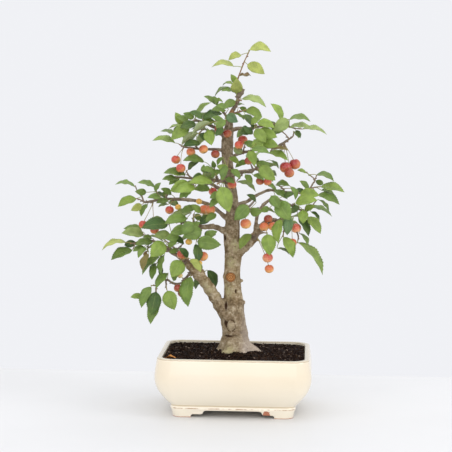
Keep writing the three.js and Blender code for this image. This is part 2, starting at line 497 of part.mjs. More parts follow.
const BACK_TWIGS = {
  back_low: [
    [[14, 303, 55, 2.6], [26, 314, 86, 1.8], [30, 320, 108, 1]],
    [[20, 308, 70, 1.7], [6, 314, 88, 1]],
    [[18, 306, 64, 1.7], [36, 306, 84, 1]],
  ],
  back_left: [
    [[-32, 342, 47, 2.4], [-52, 350, 76, 1.7], [-60, 354, 96, 1]],
    [[-40, 345, 60, 1.6], [-26, 352, 80, 1]],
    [[-38, 344, 56, 1.6], [-62, 344, 62, 1]],
  ],
  back_right: [
    [[20, 364, 41, 2.2], [34, 368, 60, 1.7], [42, 374, 78, 1]],
    [[28, 366, 50, 1.5], [22, 378, 66, 1]],
    [[30, 367, 52, 1.5], [50, 362, 54, 1]],
  ],
  back_top: [
    [[-18, 414, 17, 2.2], [-24, 424, 36, 1.6], [-28, 432, 50, 1]],
    [[-21, 419, 26, 1.4], [-6, 426, 38, 1]],
    [[-20, 418, 24, 1.4], [-38, 422, 30, 1]],
  ],
  back_east: [
    [[50, 280, 41, 2.4], [70, 292, 58, 1.7], [84, 298, 70, 1]],
    [[58, 285, 48, 1.6], [62, 290, 72, 1]],
    [[54, 283, 44, 1.6], [70, 280, 40, 1]],
  ],
  back_west: [
    [[-80, 236, 31, 2.4], [-96, 250, 50, 1.7], [-106, 258, 62, 1]],
    [[-88, 243, 40, 1.6], [-78, 252, 58, 1]],
    [[-86, 241, 38, 1.6], [-102, 240, 34, 1]],
  ],
};

const BACK = {
  seed: 7, // of the random draws
  leavesPerSpray: 6,
  tries: 80,
  length: [26, 38], // shortest and longest blade
  lift: [-0.5, 0.45], // slope of a blade's axis
  petiole: [7, 13],
  reach: 112, // furthest back
};

// how far leaves keep from each other and from wood and fruit, and the depths they are shifted by
const KEEP = {
  leaf: 3.1,
  wood: 1.5,
  ownTwig: 0.8,
  ballPitch: 2.5, // spacing of the spheres that stand for wood in these tests
  nudges: [0, -5, 5, -10, 10, -15, 15, -21, 21, -28, 28],
};

const FALLEN = { base: [-99.5, -64, 0], tip: [-85, -68, 0.5], width: 8, petiole: 4 };

// ---- small maths ---------------------------------------------------------------------------------

const UP = new THREE.Vector3(0, 0, 1);
const FRONT = new THREE.Vector3(0, -1, 0);
const vec = (x, y, z) => new THREE.Vector3(x, y, z);

// a point of the front elevation, at a depth behind (+) or before (-) the middle of the pot
function at(x, z, depth) {
  const k = (EYE.distance + depth) / EYE.distance;
  return vec(EYE.x + (x - EYE.x) * k, depth, EYE.height + (z - EYE.height) * k);
}

// repeatable random numbers from 0 to 1
function randomFrom(seed) {
  let state = seed;
  return () => {
    state = (state * 16807) % 2147483647;
    return state / 2147483647;
  };
}

// smooth bumps over a plane, between -1 and 1
function ripple(x, y, scale) {
  const u = x / scale;
  const v = y / scale;
  return (Math.sin(u * 1.7 + 0.6 * Math.sin(v * 1.3)) + Math.sin(v * 2.1 + u * 0.9) + Math.sin(u * 3.1 - v * 2.7)) / 3;
}

function bump(x, y, z, centre, radius) {
  const d2 = (x - centre[0]) ** 2 + (y - centre[1]) ** 2 + (z - centre[2]) ** 2;
  return Math.exp(-d2 / (radius * radius));
}

// ---- solids --------------------------------------------------------------------------------------

function solid(geometry) {
  const bare = geometry.clone();
  bare.deleteAttribute('normal');
  bare.deleteAttribute('uv');
  const merged = mergeVertices(bare, 1e-4);
  return new wasm.Manifold(new wasm.Mesh({
    numProp: 3,
    vertProperties: new Float32Array(merged.attributes.position.array),
    triVerts: new Uint32Array(merged.index.array),
  }));
}

function union(solids) {
  return solids.reduce((sum, next) => sum.add(next));
}

// a solid less the points that joins leave along straight edges, and less what was cut loose
function largest(shape) {
  const bodies = shape.asOriginal().simplify(JOIN_TOLERANCE).decompose();
  return bodies.reduce((best, next) => (next.volume() > best.volume() ? next : best));
}

function geometryOf(shape) {
  const mesh = shape.getMesh();
  const geometry = new THREE.BufferGeometry();
  geometry.setAttribute('position', new THREE.BufferAttribute(new Float32Array(mesh.vertProperties), 3));
  geometry.setIndex(new THREE.BufferAttribute(new Uint32Array(mesh.triVerts), 1));
  geometry.computeVertexNormals();
  return geometry;
}

// a closed shape through rings of points, each ring running anticlockwise seen from its far end
function loft(rings, capStart, capEnd) {
  const count = rings[0].length;
  const positions = [...rings.flat(), capStart, capEnd].flatMap((p) => [p.x, p.y, p.z]);
  const first = rings.length * count;
  const index = [];
  for (let j = 0; j < count; j += 1) {
    const next = (j + 1) % count;
    index.push(first, next, j);
    index.push(first + 1, (rings.length - 1) * count + j, (rings.length - 1) * count + next);
    for (let i = 0; i + 1 < rings.length; i += 1) {
      const a = i * count;
      const b = a + count;
      index.push(a + j, a + next, b + next, a + j, b + next, b + j);
    }
  }
  const geometry = new THREE.BufferGeometry();
  geometry.setAttribute('position', new THREE.Float32BufferAttribute(positions, 3));
  geometry.setIndex(index);
  return geometry;
}

// a cylinder bent along stations [point, radius]; relief(point, angle) is added to the radius
function bentCylinder(stations, sides, steps, grow = 0, relief = () => 0) {
  const curve = new THREE.CatmullRomCurve3(stations.map((s) => s.point), false, 'catmullrom', 0.5);
  const last = stations.length - 1;
  const radiusAt = (t) => {
    const i = Math.min(Math.floor(t * last), last - 1);
    return THREE.MathUtils.lerp(stations[i].radius, stations[i + 1].radius, t * last - i);
  };
  const frames = [];
  let side = FRONT.clone();
  if (Math.abs(curve.getTangent(0).dot(FRONT)) > 0.8) side = UP.clone();
  for (let i = 0; i <= steps; i += 1) {
    const t = i / steps;
    const along = curve.getTangent(t);
    side = side.clone().addScaledVector(along, -side.dot(along)).normalize();
    const point = curve.getPoint(t);
    // the ends reach out a little too, so a grown solid clears them as well
    if (i === 0) point.addScaledVector(along, -grow);
    if (i === steps) point.addScaledVector(along, grow);
    frames.push({ point, side, across: new THREE.Vector3().crossVectors(along, side), radius: radiusAt(t) + grow });
  }
  const geometry = new THREE.CylinderGeometry(1, 1, 1, sides, steps);
  const position = geometry.attributes.position;
  for (let v = 0; v < position.count; v += 1) {
    const f = frames[Math.round((position.getY(v) + 0.5) * steps)];
    const x = position.getX(v);
    const z = position.getZ(v);
    const direction = f.across.clone().multiplyScalar(x).addScaledVector(f.side, z);
    const onRim = direction.lengthSq() > 0.5;
    const extra = onRim ? relief(f.point, direction) : 0;
    const p = f.point.clone().addScaledVector(direction, f.radius + extra);
    position.setXYZ(v, p.x, p.y, p.z);
  }
  return geometry;
}

const stationsOf = (rows) => rows.map(([x, z, depth, radius]) => ({ point: at(x, z, depth), radius }));

// ---- pot -----------------------------------------------------------------------------------------

// a rounded rectangle of points at a height, a given distance in from the pot's widest outline
function potRing(halfWidth, z) {
  const halfDepth = halfWidth - POT.halfDepthLess;
  const radius = POT.cornerRadius - (BELLY - halfWidth) * 0.45;
  const ring = [];
  for (let corner = 0; corner < 4; corner += 1) {
    const sx = corner === 0 || corner === 3 ? 1 : -1;
    const sy = corner < 2 ? 1 : -1;
    for (let k = 0; k <= POT.cornerSteps; k += 1) {
      const angle = (corner + k / POT.cornerSteps) * (Math.PI / 2);
      ring.push(vec(
        sx * (halfWidth - radius) + radius * Math.cos(angle),
        sy * (halfDepth - radius) + radius * Math.sin(angle),
        z,
      ));
    }
  }
  return ring;
}

function potLoft(profile, inset = 0) {
  const rings = profile.map(([z, halfWidth]) => potRing(halfWidth - inset, z));
  return loft(rings, vec(0, 0, profile[0][0]), vec(0, 0, profile[profile.length - 1][0]));
}

// the cloud-shaped opening under the pot between two feet, as a prism along Y
function footGap(gapHalf, stepHalf, reach) {
  const shape = new THREE.Shape();
  const top = POT.floorUnder;
  shape.moveTo(-stepHalf, -1);
  shape.lineTo(-stepHalf, FOOT.stepHeight * 0.55);
  shape.lineTo(-stepHalf + 3, FOOT.stepHeight);
  shape.lineTo(-gapHalf - 3, FOOT.stepHeight);
  shape.lineTo(-gapHalf, FOOT.stepHeight + 2.5);
  shape.lineTo(-gapHalf + 5, top);
  shape.lineTo(gapHalf - 5, top);
  shape.lineTo(gapHalf, FOOT.stepHeight + 2.5);
  shape.lineTo(gapHalf + 3, FOOT.stepHeight);
  shape.lineTo(stepHalf - 3, FOOT.stepHeight);
  shape.lineTo(stepHalf, FOOT.stepHeight * 0.55);
  shape.lineTo(stepHalf, -1);
  shape.closePath();
  const prism = new THREE.ExtrudeGeometry(shape, { depth: 2 * reach, bevelEnabled: false, steps: 1 });
  prism.translate(0, 0, -reach);
  prism.rotateX(Math.PI / 2);
  return prism;
}

function drainHole(x) {
  const hole = new THREE.CylinderGeometry(DRAIN.holeRadius, DRAIN.holeRadius, POT.floorTop, 16);
  hole.rotateX(Math.PI / 2);
  hole.translate(x, 0, POT.floorTop - 3);
  return solid(hole);
}

function potSolid() {
  const outer = solid(potLoft(POT_OUTSIDE));
  const last = POT_INSIDE[POT_INSIDE.length - 1];
  const cavity = solid(potLoft([...POT_INSIDE, [last[0] + 1, last[1] + 1]]));
  const footInside = potLoft([[-1, 90 - FOOT.wall], [POT.floorUnder, 90 - FOOT.wall]]);
  const endsGap = footGap(FOOT.gapHalfEnds, FOOT.stepHalfEnds, 130);
  endsGap.rotateZ(Math.PI / 2);
  return outer
    .subtract(cavity)
    .subtract(solid(footInside))
    .subtract(solid(footGap(FOOT.gapHalf, FOOT.stepHalf, 130)))
    .subtract(solid(endsGap))
    .subtract(drainHole(-DRAIN.x))
    .subtract(drainHole(DRAIN.x));
}

// a square of plastic mesh that lies over a drain hole
function drainMesh(x) {
  const side = 2 * DRAIN.meshHalf;
  const pitch = (side - DRAIN.meshBar) / DRAIN.meshHoles;
  const opening = pitch - DRAIN.meshBar;
  const place = (geometry, dx, dy) => {
    geometry.translate(x + dx, dy, POT.floorTop + CLEARANCE + DRAIN.meshThick / 2);
    return solid(geometry);
  };
  let plate = place(new THREE.BoxGeometry(side, side, DRAIN.meshThick), 0, 0);
  for (let i = 0; i < DRAIN.meshHoles; i += 1) {
    for (let j = 0; j < DRAIN.meshHoles; j += 1) {
      const hole = new THREE.BoxGeometry(opening, opening, 3 * DRAIN.meshThick);
      const middle = (DRAIN.meshHoles - 1) / 2;
      plate = plate.subtract(place(hole, (i - middle) * pitch, (j - middle) * pitch));
    }
  }
  return plate;
}

// ---- soil ----------------------------------------------------------------------------------------

function soilHeight(x, y) {
  const mound = SOIL.moundHeight * Math.exp(-(x * x + y * y) / SOIL.moundRadius ** 2);
  const crumbs = ripple(x, y, 6) * 0.6 + ripple(y + 40, x - 15, 3.2) * 0.4;
  return SOIL.edgeHeight + mound + SOIL.grainHeight * crumbs;
}

function soilSolid(woodClear) {
  const inside = POT_INSIDE.filter(([z]) => z > SOIL.bottom && z < SOIL.edgeHeight - 1);
  const side = [[SOIL.bottom, 86.5], ...inside];
  const rings = side.map(([z, halfWidth]) => potRing(halfWidth - CLEARANCE - 0.1, z));
  const rim = potRing(SOIL.edgeHalf, 0);
  for (const scale of [1, 0.88, 0.74, 0.58, 0.4]) {
    rings.push(rim.map((p) => vec(p.x * scale, p.y * scale, soilHeight(p.x * scale, p.y * scale))));
  }
  const geometry = loft(rings, vec(0, 0, SOIL.bottom), vec(0, 0, soilHeight(0, 0)));
  geometry.applyMatrix4(TREE_PLACE.clone().invert()); // into the tree's own axes, to be cut by its wood
  return largest(solid(geometry).subtract(woodClear));
}

// ---- wood ----------------------------------------------------------------------------------------

const SCAR = { centre: [-5, -13, 203.5], radius: 8.2 };
const WOOD = { thick: 7, stout: 3.2, leastTwig: 1.25 }; // radius of a thick limb and a stout twig, least radius
const KNOTS = [
  // [x, y, z, reach, height]: burrs and knobs on the trunk
  [13, -7, 163, 5, 3.8], [10, -5, 196, 3, 2.2], [-16, -4, 203, 4, 2.2], [-4, -17, 126, 7, 1.8],
  [12, -4, 240, 7, 1.6], [-19, -6, 270, 5, 2.4], [-17, 4, 130, 6, 1.6], [6, 14, 150, 8, 2.6],
  [-9, 12, 182, 7, 2], [4, 12, 222, 8, 1.8], [-9, -23, 98, 8, 3.5], [-14, 3, 112, 6, 1.8], [12, 10, 118, 9, 2.4],
];
// surface roots: [direction in degrees, reach, width in degrees]
const ROOTS = [[-8, 22, 20], [-62, 12, 18], [-118, 9, 16], [176, 8, 20], [128, 16, 18], [62, 14, 20]];

function trunkRelief(point, direction) {
  const z = point.z;
  const angle = THREE.MathUtils.radToDeg(Math.atan2(direction.y, direction.x));
  let extra = 0;
  for (const [heading, reach, width] of ROOTS) {
    const off = ((angle - heading + 540) % 360) - 180;
    const fall = Math.exp(-Math.max(z - 88, 0) / 9);
    extra += reach * fall * Math.exp(-((off / width) ** 2)) * (z < 88 ? 0.75 + (88 - z) * 0.01 : 1);
  }
  const x = point.x + direction.x * 12;
  const y = point.y + direction.y * 12;
  for (const [kx, ky, kz, reach, height] of KNOTS) {
    extra += height * bump(x, y, z, [kx, ky, kz], reach);
  }
  const fromScar = Math.hypot(x - SCAR.centre[0], z - SCAR.centre[2]) / SCAR.radius;
  if (direction.y < -0.2) {
    extra += 1.5 * Math.exp(-(((fromScar - 0.85) / 0.3) ** 2)) - 1.1 * Math.exp(-((fromScar / 0.55) ** 2));
  }
  return extra + 0.5 * Math.sin(angle * 0.14 + z * 0.05) + 0.4 * Math.sin(angle * 0.21 - z * 0.09);
}

function woodSolid(grow) {
  const trunk = solid(bentCylinder(stationsOf(TRUNK), 14, 28, grow, trunkRelief));
  const limbs = Object.values(LIMBS).map((rows) => {
    const sides = rows[0][3] > WOOD.thick ? 8 : 4;
    return solid(bentCylinder(stationsOf(rows), sides, rows.length - 1, grow));
  });
  return union([trunk, ...limbs]);
}

// ---- leaves --------------------------------------------------------------------------------------

// the blade's own axes and sizes from a row of the spray tables, shifted in depth
function bladeOf(row, shift) {
  const [x0, z0, depth0, x1, z1, depth1, seen, side = 1, arch = LEAF.arch] = row;
  const base = at(x0, z0, depth0 + shift);
  const tip = at(x1, z1, depth1 + shift);
  const axis = tip.clone().sub(base);
  const length = axis.length();
  axis.normalize();
  const width = Math.max(seen, LEAF.widthToLength * length);
  const turn = Math.asin(Math.min(seen / width, 1));
  const toFront = FRONT.clone().addScaledVector(axis, -FRONT.dot(axis)).normalize();
  const upright = new THREE.Vector3().crossVectors(axis, toFront);
  if (upright.z < 0) upright.negate();
  const normal = upright.multiplyScalar(Math.cos(turn)).addScaledVector(toFront, side * Math.sin(turn)).normalize();
  return { base, tip, axis, length, width, normal, across: new THREE.Vector3().crossVectors(normal, axis), arch };
}

// a point of the blade: t along the midrib, s across it from -1 to 1, h above it
function onBlade(blade, t, s, h = 0) {
  const rise = blade.arch * blade.length * 4 * t * (1 - t) + LEAF.fold * Math.abs(s) * (blade.width / 2) + h;
  return blade.base.clone()
    .addScaledVector(blade.axis, t * blade.length)
    .addScaledVector(blade.normal, rise)
    .addScaledVector(blade.across, s * (blade.width / 2));
}

// one leaf as a closed solid: a petiole from its twig, then a folded blade with toothed margins
function leafSolid(blade, root) {
  const direction = blade.base.clone().sub(root).normalize().add(blade.axis).normalize();
  const side = blade.across.clone().addScaledVector(direction, -blade.across.dot(direction)).normalize();
  const under = new THREE.Vector3().crossVectors(side, direction);
  const ringAt = (point, radius) => [
    point.clone().addScaledVector(side, radius),
    point.clone().addScaledVector(side, -radius),
    point.clone().addScaledVector(under, 1.2 * radius),
  ];
  const points = [...ringAt(root, LEAF.petioleRoot), ...ringAt(blade.base, LEAF.petioleRadius)];
  const add = (p) => points.push(p) - 1;
  const left = [3, ...LEAF_MARGIN.map(([t, s]) => add(onBlade(blade, t, s)))];
  const right = [4, ...LEAF_MARGIN.map(([t, s]) => add(onBlade(blade, t, -s)))];
  const ribTop = [3, ...LEAF_RIB.map((t) => add(onBlade(blade, t, 0, LEAF.ribHalf)))];
  const ribUnder = [5, ...LEAF_RIB.map((t) => add(onBlade(blade, t, 0, -LEAF.ribHalf)))];
  const tip = add(blade.tip);
  [left, right, ribTop, ribUnder].forEach((line) => line.push(tip));
  const index = [0, 2, 1];
  for (let k = 0; k < 3; k += 1) {
    const n = (k + 1) % 3;
    index.push(k, n, 3 + n, k, 3 + n, 3 + k);
  }
  // each half of each face is a strip between a margin and the midrib, split alike above and below
  const ribT = [0, ...LEAF_RIB, 1];
  const marginT = [0, ...LEAF_MARGIN.map(([t]) => t), 1];
  const strip = (margin, rib, flip) => {
    let i = 0;
    let j = 0;
    while (i + 1 < margin.length || j + 1 < rib.length) {
      const ribNext = j + 1 < rib.length ? ribT[j + 1] : Infinity;
      const marginNext = i + 1 < margin.length ? marginT[i + 1] : Infinity;
      let triangle;
      if (marginNext <= ribNext) {
        triangle = [margin[i], margin[i + 1], rib[j]];
        i += 1;
      } else {
        triangle = [margin[i], rib[j + 1], rib[j]];
        j += 1;
      }
      if (new Set(triangle).size === 3) index.push(...(flip ? triangle.reverse() : triangle));
    }
  };
  strip(left, ribTop, true);
  strip(right, ribTop, false);
  strip(left, ribUnder, false);
  strip(right, ribUnder, true);
  const geometry = new THREE.BufferGeometry();
  geometry.setAttribute('position', new THREE.Float32BufferAttribute(points.flatMap((p) => [p.x, p.y, p.z]), 3));
  geometry.setIndex(index);
  return solid(geometry);
}

// ---- seating twigs, and placing leaves so that none crosses another piece -----------------------------

// spheres along stations, for clearance tests and for seating what grows from them
function ballsAlong(stations, owner) {
  const balls = [];
  for (let k = 0; k + 1 < stations.length; k += 1) {
    const [from, to] = [stations[k], stations[k + 1]];
    const count = Math.ceil(from.point.distanceTo(to.point) / KEEP.ballPitch);
    for (let i = 0; i < count; i += 1) {
      const radius = THREE.MathUtils.lerp(from.radius, to.radius, i / count);
      balls.push({ point: from.point.clone().lerp(to.point, i / count), radius, owner });
    }
  }
  return balls;
}

function nearest(balls, point) {
  return balls.reduce((best, ball) => (
    ball.point.distanceToSquared(point) < best.point.distanceToSquared(point) ? ball : best));
}

// the twigs of a spray, each begun on the axis of what it grows from
function seatTwigs(twigs, wood, owner) {
  const own = [];
  const seated = twigs.map((rows) => {
    const stations = stationsOf(rows);
    for (const station of stations) station.radius = Math.max(station.radius, WOOD.leastTwig);
    stations[0].point = nearest(own.length ? own : wood, stations[0].point).point.clone();
    own.push(...ballsAlong(stations, owner));
    return stations;
  });
  // leaves grow from where the twigs have left the wood
  const clearOf = (ball) => (other) => other.point.distanceTo(ball.point) > other.radius + KEEP.wood;
  return { seated, own, seats: own.filter((ball) => wood.every(clearOf(ball))) };
}

const BLADE_SAMPLES = [];
for (const t of [0.06, 0.2, 0.35, 0.5, 0.65, 0.8, 0.93]) {
  for (const s of [-1, -0.5, 0, 0.5, 1]) BLADE_SAMPLES.push([t, s * 3.8 * t * (1 - t)]);
}

// how many points of a leaf come too near to what is already placed
function crowding(leaf, placed, balls) {
  const { blade, root, spray } = leaf;
  const samples = BLADE_SAMPLES.map(([t, s]) => onBlade(blade, t, s));
  const stalk = [0.4, 0.7].map((k) => root.clone().lerp(blade.base, k));
  const middle = onBlade(blade, 0.5, 0);
  const reach = blade.length * 0.62 + 4;
  let count = 0;
  for (const other of placed) {
    if (middle.distanceTo(other.middle) > reach + other.reach + KEEP.leaf) continue;
    const near = (p) => other.samples.some((q) => p.distanceToSquared(q) < KEEP.leaf ** 2);
    count += samples.filter(near).length + stalk.filter(near).length;
  }
  for (const ball of balls) {
    if (middle.distanceTo(ball.point) > reach + ball.radius + KEEP.wood) continue;
    const own = ball.owner === spray;
    const limit = (ball.radius + (own ? KEEP.ownTwig : KEEP.wood)) ** 2;
    const near = (p) => p.distanceToSquared(ball.point) < limit;
    count += samples.filter(near).length + (own ? 0 : stalk.filter(near).length);
  }
  return { count, samples: [...samples, ...stalk], middle, reach };
}

// each leaf of the tables, shifted in depth by the smallest step that clears it
function placeLeaf(row, spray, seats, placed, balls) {
  let best = null;
  for (const shift of KEEP.nudges) {
    const blade = bladeOf(row, shift);
    const aim = blade.base.clone().addScaledVector(blade.axis, -LEAF.petioleReach);
    const leaf = { spray, blade, root: nearest(seats, aim).point, outline: outlineOf(row) };
    Object.assign(leaf, crowding(leaf, placed, balls));
    if (!best || leaf.count < best.count) best = leaf;
    if (best.count === 0) break;
  }
  return best;
}

// the ellipse that a row's blade covers in the front elevation
function outlineOf(row) {
  const [x0, z0, , x1, z1, , seen] = row;
  const length = Math.max(Math.hypot(x1 - x0, z1 - z0), 6);
  return {
    x: (x0 + x1) / 2,
    z: (z0 + z1) / 2,
    ux: (x1 - x0) / length,
    uz: (z1 - z0) / length,
    half: length * 0.56,
    wide: Math.max(seen * 0.56, 2.5),
  };
}

// whether a point, seen from the eye, is hidden behind one of the leaves in front of it
function hidden(point, leaves) {
  const k = EYE.distance / (EYE.distance + point.y);
  const x = EYE.x + (point.x - EYE.x) * k;
  const z = EYE.height + (point.z - EYE.height) * k;
  return leaves.some(({ outline, middle }) => {
    if (middle.y > point.y) return false;
    const dx = x - outline.x;
    const dz = z - outline.z;
    const along = dx * outline.ux + dz * outline.uz;
    const across = -dx * outline.uz + dz * outline.ux;
    return (along / outline.half) ** 2 + (across / outline.wide) ** 2 < 1;
  });
}

// a blade that grows outwards from a point of a twig, drawn at random
function randomBlade(root, random) {
  const between = ([low, high]) => low + (high - low) * random();
  const heading = random() * 2 * Math.PI;
  const axis = vec(Math.cos(heading), 0.9 * Math.sin(heading) + 0.25, between(BACK.lift)).normalize();
  const length = between(BACK.length);
  const base = root.clone().addScaledVector(axis, between(BACK.petiole));
  const normal = vec(0, 0.7 * random(), 1);
  normal.addScaledVector(axis, -normal.dot(axis)).normalize();
  return {
    base, axis, length, normal,
    tip: base.clone().addScaledVector(axis, length),
    width: length * LEAF.widthToLength,
    across: new THREE.Vector3().crossVectors(normal, axis),
    arch: LEAF.arch,
  };
}

// the leaves of a back spray, kept where they are clear of the rest and out of the front outline
function placeBackLeaves(spray, seats, front, placed, balls, random) {
  for (let k = 0; k < BACK.leavesPerSpray; k += 1) {
    for (let attempt = 0; attempt < BACK.tries; attempt += 1) {
      const root = seats[Math.floor((0.2 + 0.8 * random()) * (seats.length - 1))].point;
      const blade = randomBlade(root, random);
      const corners = [blade.base, onBlade(blade, 0.5, 0.8), onBlade(blade, 0.5, -0.8), blade.tip];
      if (!corners.every((p) => p.y < BACK.reach && hidden(p, front))) continue;
      const leaf = { spray, blade, root };
      Object.assign(leaf, crowding(leaf, placed, balls));
      if (leaf.count > 0) continue;
      placed.push(leaf);
      break;
    }
  }
}

// ---- fruit ---------------------------------------------------------------------------------------

// a bunch on the wood nearest to its spur point: a short spur, and apples with stalks from its end
function bunchOf({ spur, apples }, balls) {
  const seat = nearest(balls, at(...spur));
  const centres = apples.map(([x, z, depth]) => at(x, z, depth));
  const out = vec(0, 0, 0);
  for (const centre of centres) out.add(centre.clone().sub(seat.point).normalize());
  const hub = seat.point.clone().addScaledVector(out.normalize(), seat.radius + CLEARANCE + APPLE.spurLength);
  const knuckle = hub.clone().addScaledVector(out, APPLE.stalkRadius);
  return {
    spur: [seat.point, knuckle].map((point) => ({ point, radius: APPLE.spurRadius })),
    apples: apples.map(([, , , diameter], k) => appleOf(centres[k], diameter, hub)),
  };
}

// an apple's axis up to its stalk, and its stalk from the hub into the dimple
function appleOf(centre, diameter, hub) {
  const axis = hub.clone().sub(centre).normalize().multiplyScalar(0.5).add(UP).normalize();
  const dimple = centre.clone().addScaledVector(axis, diameter * 0.24);
  return { centre, axis, diameter, stalk: [hub, dimple].map((point) => ({ point, radius: APPLE.stalkRadius })) };
}

function appleSolid({ centre, axis, diameter, stalk }) {
  const profile = APPLE_SECTION.map(([r, h]) => new THREE.Vector2(r * diameter, h * diameter));
  const body = new THREE.LatheGeometry(profile, APPLE.sides);
  body.applyQuaternion(new THREE.Quaternion().setFromUnitVectors(vec(0, 1, 0), axis));
  body.translate(centre.x, centre.y, centre.z);
  return solid(body).add(solid(bentCylinder(stalk, 3, 1)));
}

// ---- the assembly --------------------------------------------------------------------------------

// a named solid, put in its place
function piece(name, shape, [colour, roughness], place = new THREE.Matrix4()) {
  const material = new THREE.MeshStandardMaterial({ color: colour, roughness, metalness: 0 });
  const mesh = new THREE.Mesh(geometryOf(shape).applyMatrix4(place), material);
  mesh.name = name;
  return mesh;
}

function twigSolids(seated, grow = 0) {
  return seated.map((stations) => {
    const sides = stations[0].radius > WOOD.stout ? 6 : 3;
    return solid(bentCylinder(stations, sides, stations.length - 1, grow));
  });
}

// a dry leaf that lies on the crumbs of the soil
function fallenLeaf() {
  const base = vec(...FALLEN.base);
  const tip = vec(...FALLEN.tip);
  const axis = tip.clone().sub(base);
  const length = axis.length();
  axis.normalize();
  const normal = UP.clone().addScaledVector(axis, -axis.z).normalize();
  const across = new THREE.Vector3().crossVectors(normal, axis);
  const blade = { base, tip, axis, length, width: FALLEN.width, normal, across, arch: 0.05 };
  const under = BLADE_SAMPLES.map(([t, s]) => onBlade(blade, t, s)).map((p) => soilHeight(p.x, p.y) - p.z);
  const lift = Math.max(...under) + CLEARANCE + LEAF.ribHalf;
  const root = base.clone().addScaledVector(axis, -FALLEN.petiole);
  return leafSolid({ ...blade, base: base.clone().setZ(base.z + lift), tip: tip.clone().setZ(tip.z + lift) },
    root.setZ(root.z + lift));
}

function addTree(model) {
  const wood = woodSolid(0);
  const woodClear = woodSolid(CLEARANCE);
  const woodBalls = [TRUNK, ...Object.values(LIMBS)].flatMap((rows) => ballsAlong(stationsOf(rows), 'wood'));
  const sprays = Object.entries(SPRAYS)
    .map(([name, { twigs, leaves }]) => ({ name, leaves, ...seatTwigs(twigs, woodBalls, name) }));
  const backSprays = Object.entries(BACK_TWIGS)
    .map(([name, twigs]) => ({ name, ...seatTwigs(twigs, woodBalls, name) }));
  const twigBalls = [...woodBalls, ...sprays.flatMap((s) => s.own), ...backSprays.flatMap((s) => s.own)];
  const bunches = Object.entries(BUNCHES).map(([name, bunch]) => ({ name, ...bunchOf(bunch, twigBalls) }));
  const balls = [...twigBalls];
  for (const { name, spur, apples } of bunches) {
    balls.push(...ballsAlong(spur, `apples_${name}`));
    for (const { centre, diameter, stalk } of apples) {
      balls.push({ point: centre, radius: diameter / 2, owner: `apples_${name}` });
      balls.push(...ballsAlong(stalk, `apples_${name}`));
    }
  }
  const placed = [];
  for (const { name, leaves, seats } of sprays) {
    for (const row of leaves) placed.push(placeLeaf(row, name, seats, placed, balls));
  }
  const front = [...placed];
  const random = randomFrom(BACK.seed);
  for (const { name, seats } of backSprays) placeBackLeaves(name, seats, front, placed, balls, random);

  model.add(piece('soil', soilSolid(woodClear), COLOURS.soil, TREE_PLACE));
  model.add(piece('trunk', largest(wood), COLOURS.wood, TREE_PLACE));
  const twigsClear = [];
  for (const { name, seated } of [...sprays, ...backSprays]) {
    const leaves = placed.filter((leaf) => leaf.spray === name).map((leaf) => leafSolid(leaf.blade, leaf.root));
    const spray = largest(union([...twigSolids(seated), ...leaves]).subtract(woodClear));
    model.add(piece(`spray_${name}`, spray, COLOURS.leaf, TREE_PLACE));
    twigsClear.push(...twigSolids(seated, CLEARANCE));
  }
  const clear = union([woodClear, ...twigsClear]);
  for (const { name, spur, apples } of bunches) {
    const fruit = largest(union([...twigSolids([spur]), ...apples.map(appleSolid)]).subtract(clear));
    model.add(piece(`apples_${name}`, fruit, COLOURS.apple, TREE_PLACE));
  }
}

const model = new THREE.Group();
model.add(piece('pot', potSolid(), COLOURS.pot));
model.add(piece('drain_mesh_left', drainMesh(-DRAIN.x), COLOURS.mesh));
model.add(piece('drain_mesh_right', drainMesh(DRAIN.x), COLOURS.mesh));
addTree(model);
model.add(piece('fallen_leaf', fallenLeaf(), COLOURS.dryLeaf));

// the origin goes to the middle of the bounding box in plan
const box = new THREE.Box3().setFromObject(model);
model.position.set(-(box.min.x + box.max.x) / 2, -(box.min.y + box.max.y) / 2, 0);
model.updateMatrixWorld(true);

export default model;
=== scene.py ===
"""A crabapple bonsai in a cream glazed pot, dressed over its packed CAD frame, laid out as an add-on.

Sizes and tables are in millimetres from the middle of the pot; every mesh is in metres of the frame.
"""

import math

import bmesh
import bpy
import numpy as np
from bpy.props import FloatProperty, FloatVectorProperty, IntProperty, PointerProperty
from mathutils import Matrix, Vector, noise


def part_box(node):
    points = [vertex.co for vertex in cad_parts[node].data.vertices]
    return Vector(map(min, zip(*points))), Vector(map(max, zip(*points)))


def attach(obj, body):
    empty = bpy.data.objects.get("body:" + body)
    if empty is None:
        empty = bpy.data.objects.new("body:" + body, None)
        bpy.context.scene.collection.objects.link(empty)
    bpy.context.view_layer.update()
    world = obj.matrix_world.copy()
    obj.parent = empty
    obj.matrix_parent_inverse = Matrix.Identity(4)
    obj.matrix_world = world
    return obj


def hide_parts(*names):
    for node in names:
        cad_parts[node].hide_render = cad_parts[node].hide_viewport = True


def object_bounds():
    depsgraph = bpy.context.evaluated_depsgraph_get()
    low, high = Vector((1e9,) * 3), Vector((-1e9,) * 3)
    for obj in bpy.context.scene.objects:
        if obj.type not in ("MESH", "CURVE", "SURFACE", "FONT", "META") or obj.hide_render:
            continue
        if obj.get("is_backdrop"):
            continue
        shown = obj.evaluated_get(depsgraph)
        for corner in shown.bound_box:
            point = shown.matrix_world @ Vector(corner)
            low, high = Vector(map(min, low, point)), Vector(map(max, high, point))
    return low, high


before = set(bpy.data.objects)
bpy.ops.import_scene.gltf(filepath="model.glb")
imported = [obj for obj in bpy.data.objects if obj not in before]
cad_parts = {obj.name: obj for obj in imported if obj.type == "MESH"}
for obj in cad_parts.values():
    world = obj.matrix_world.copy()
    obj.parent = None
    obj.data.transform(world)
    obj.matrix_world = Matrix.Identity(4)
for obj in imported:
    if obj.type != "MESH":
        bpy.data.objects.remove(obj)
CAD_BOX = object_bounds()

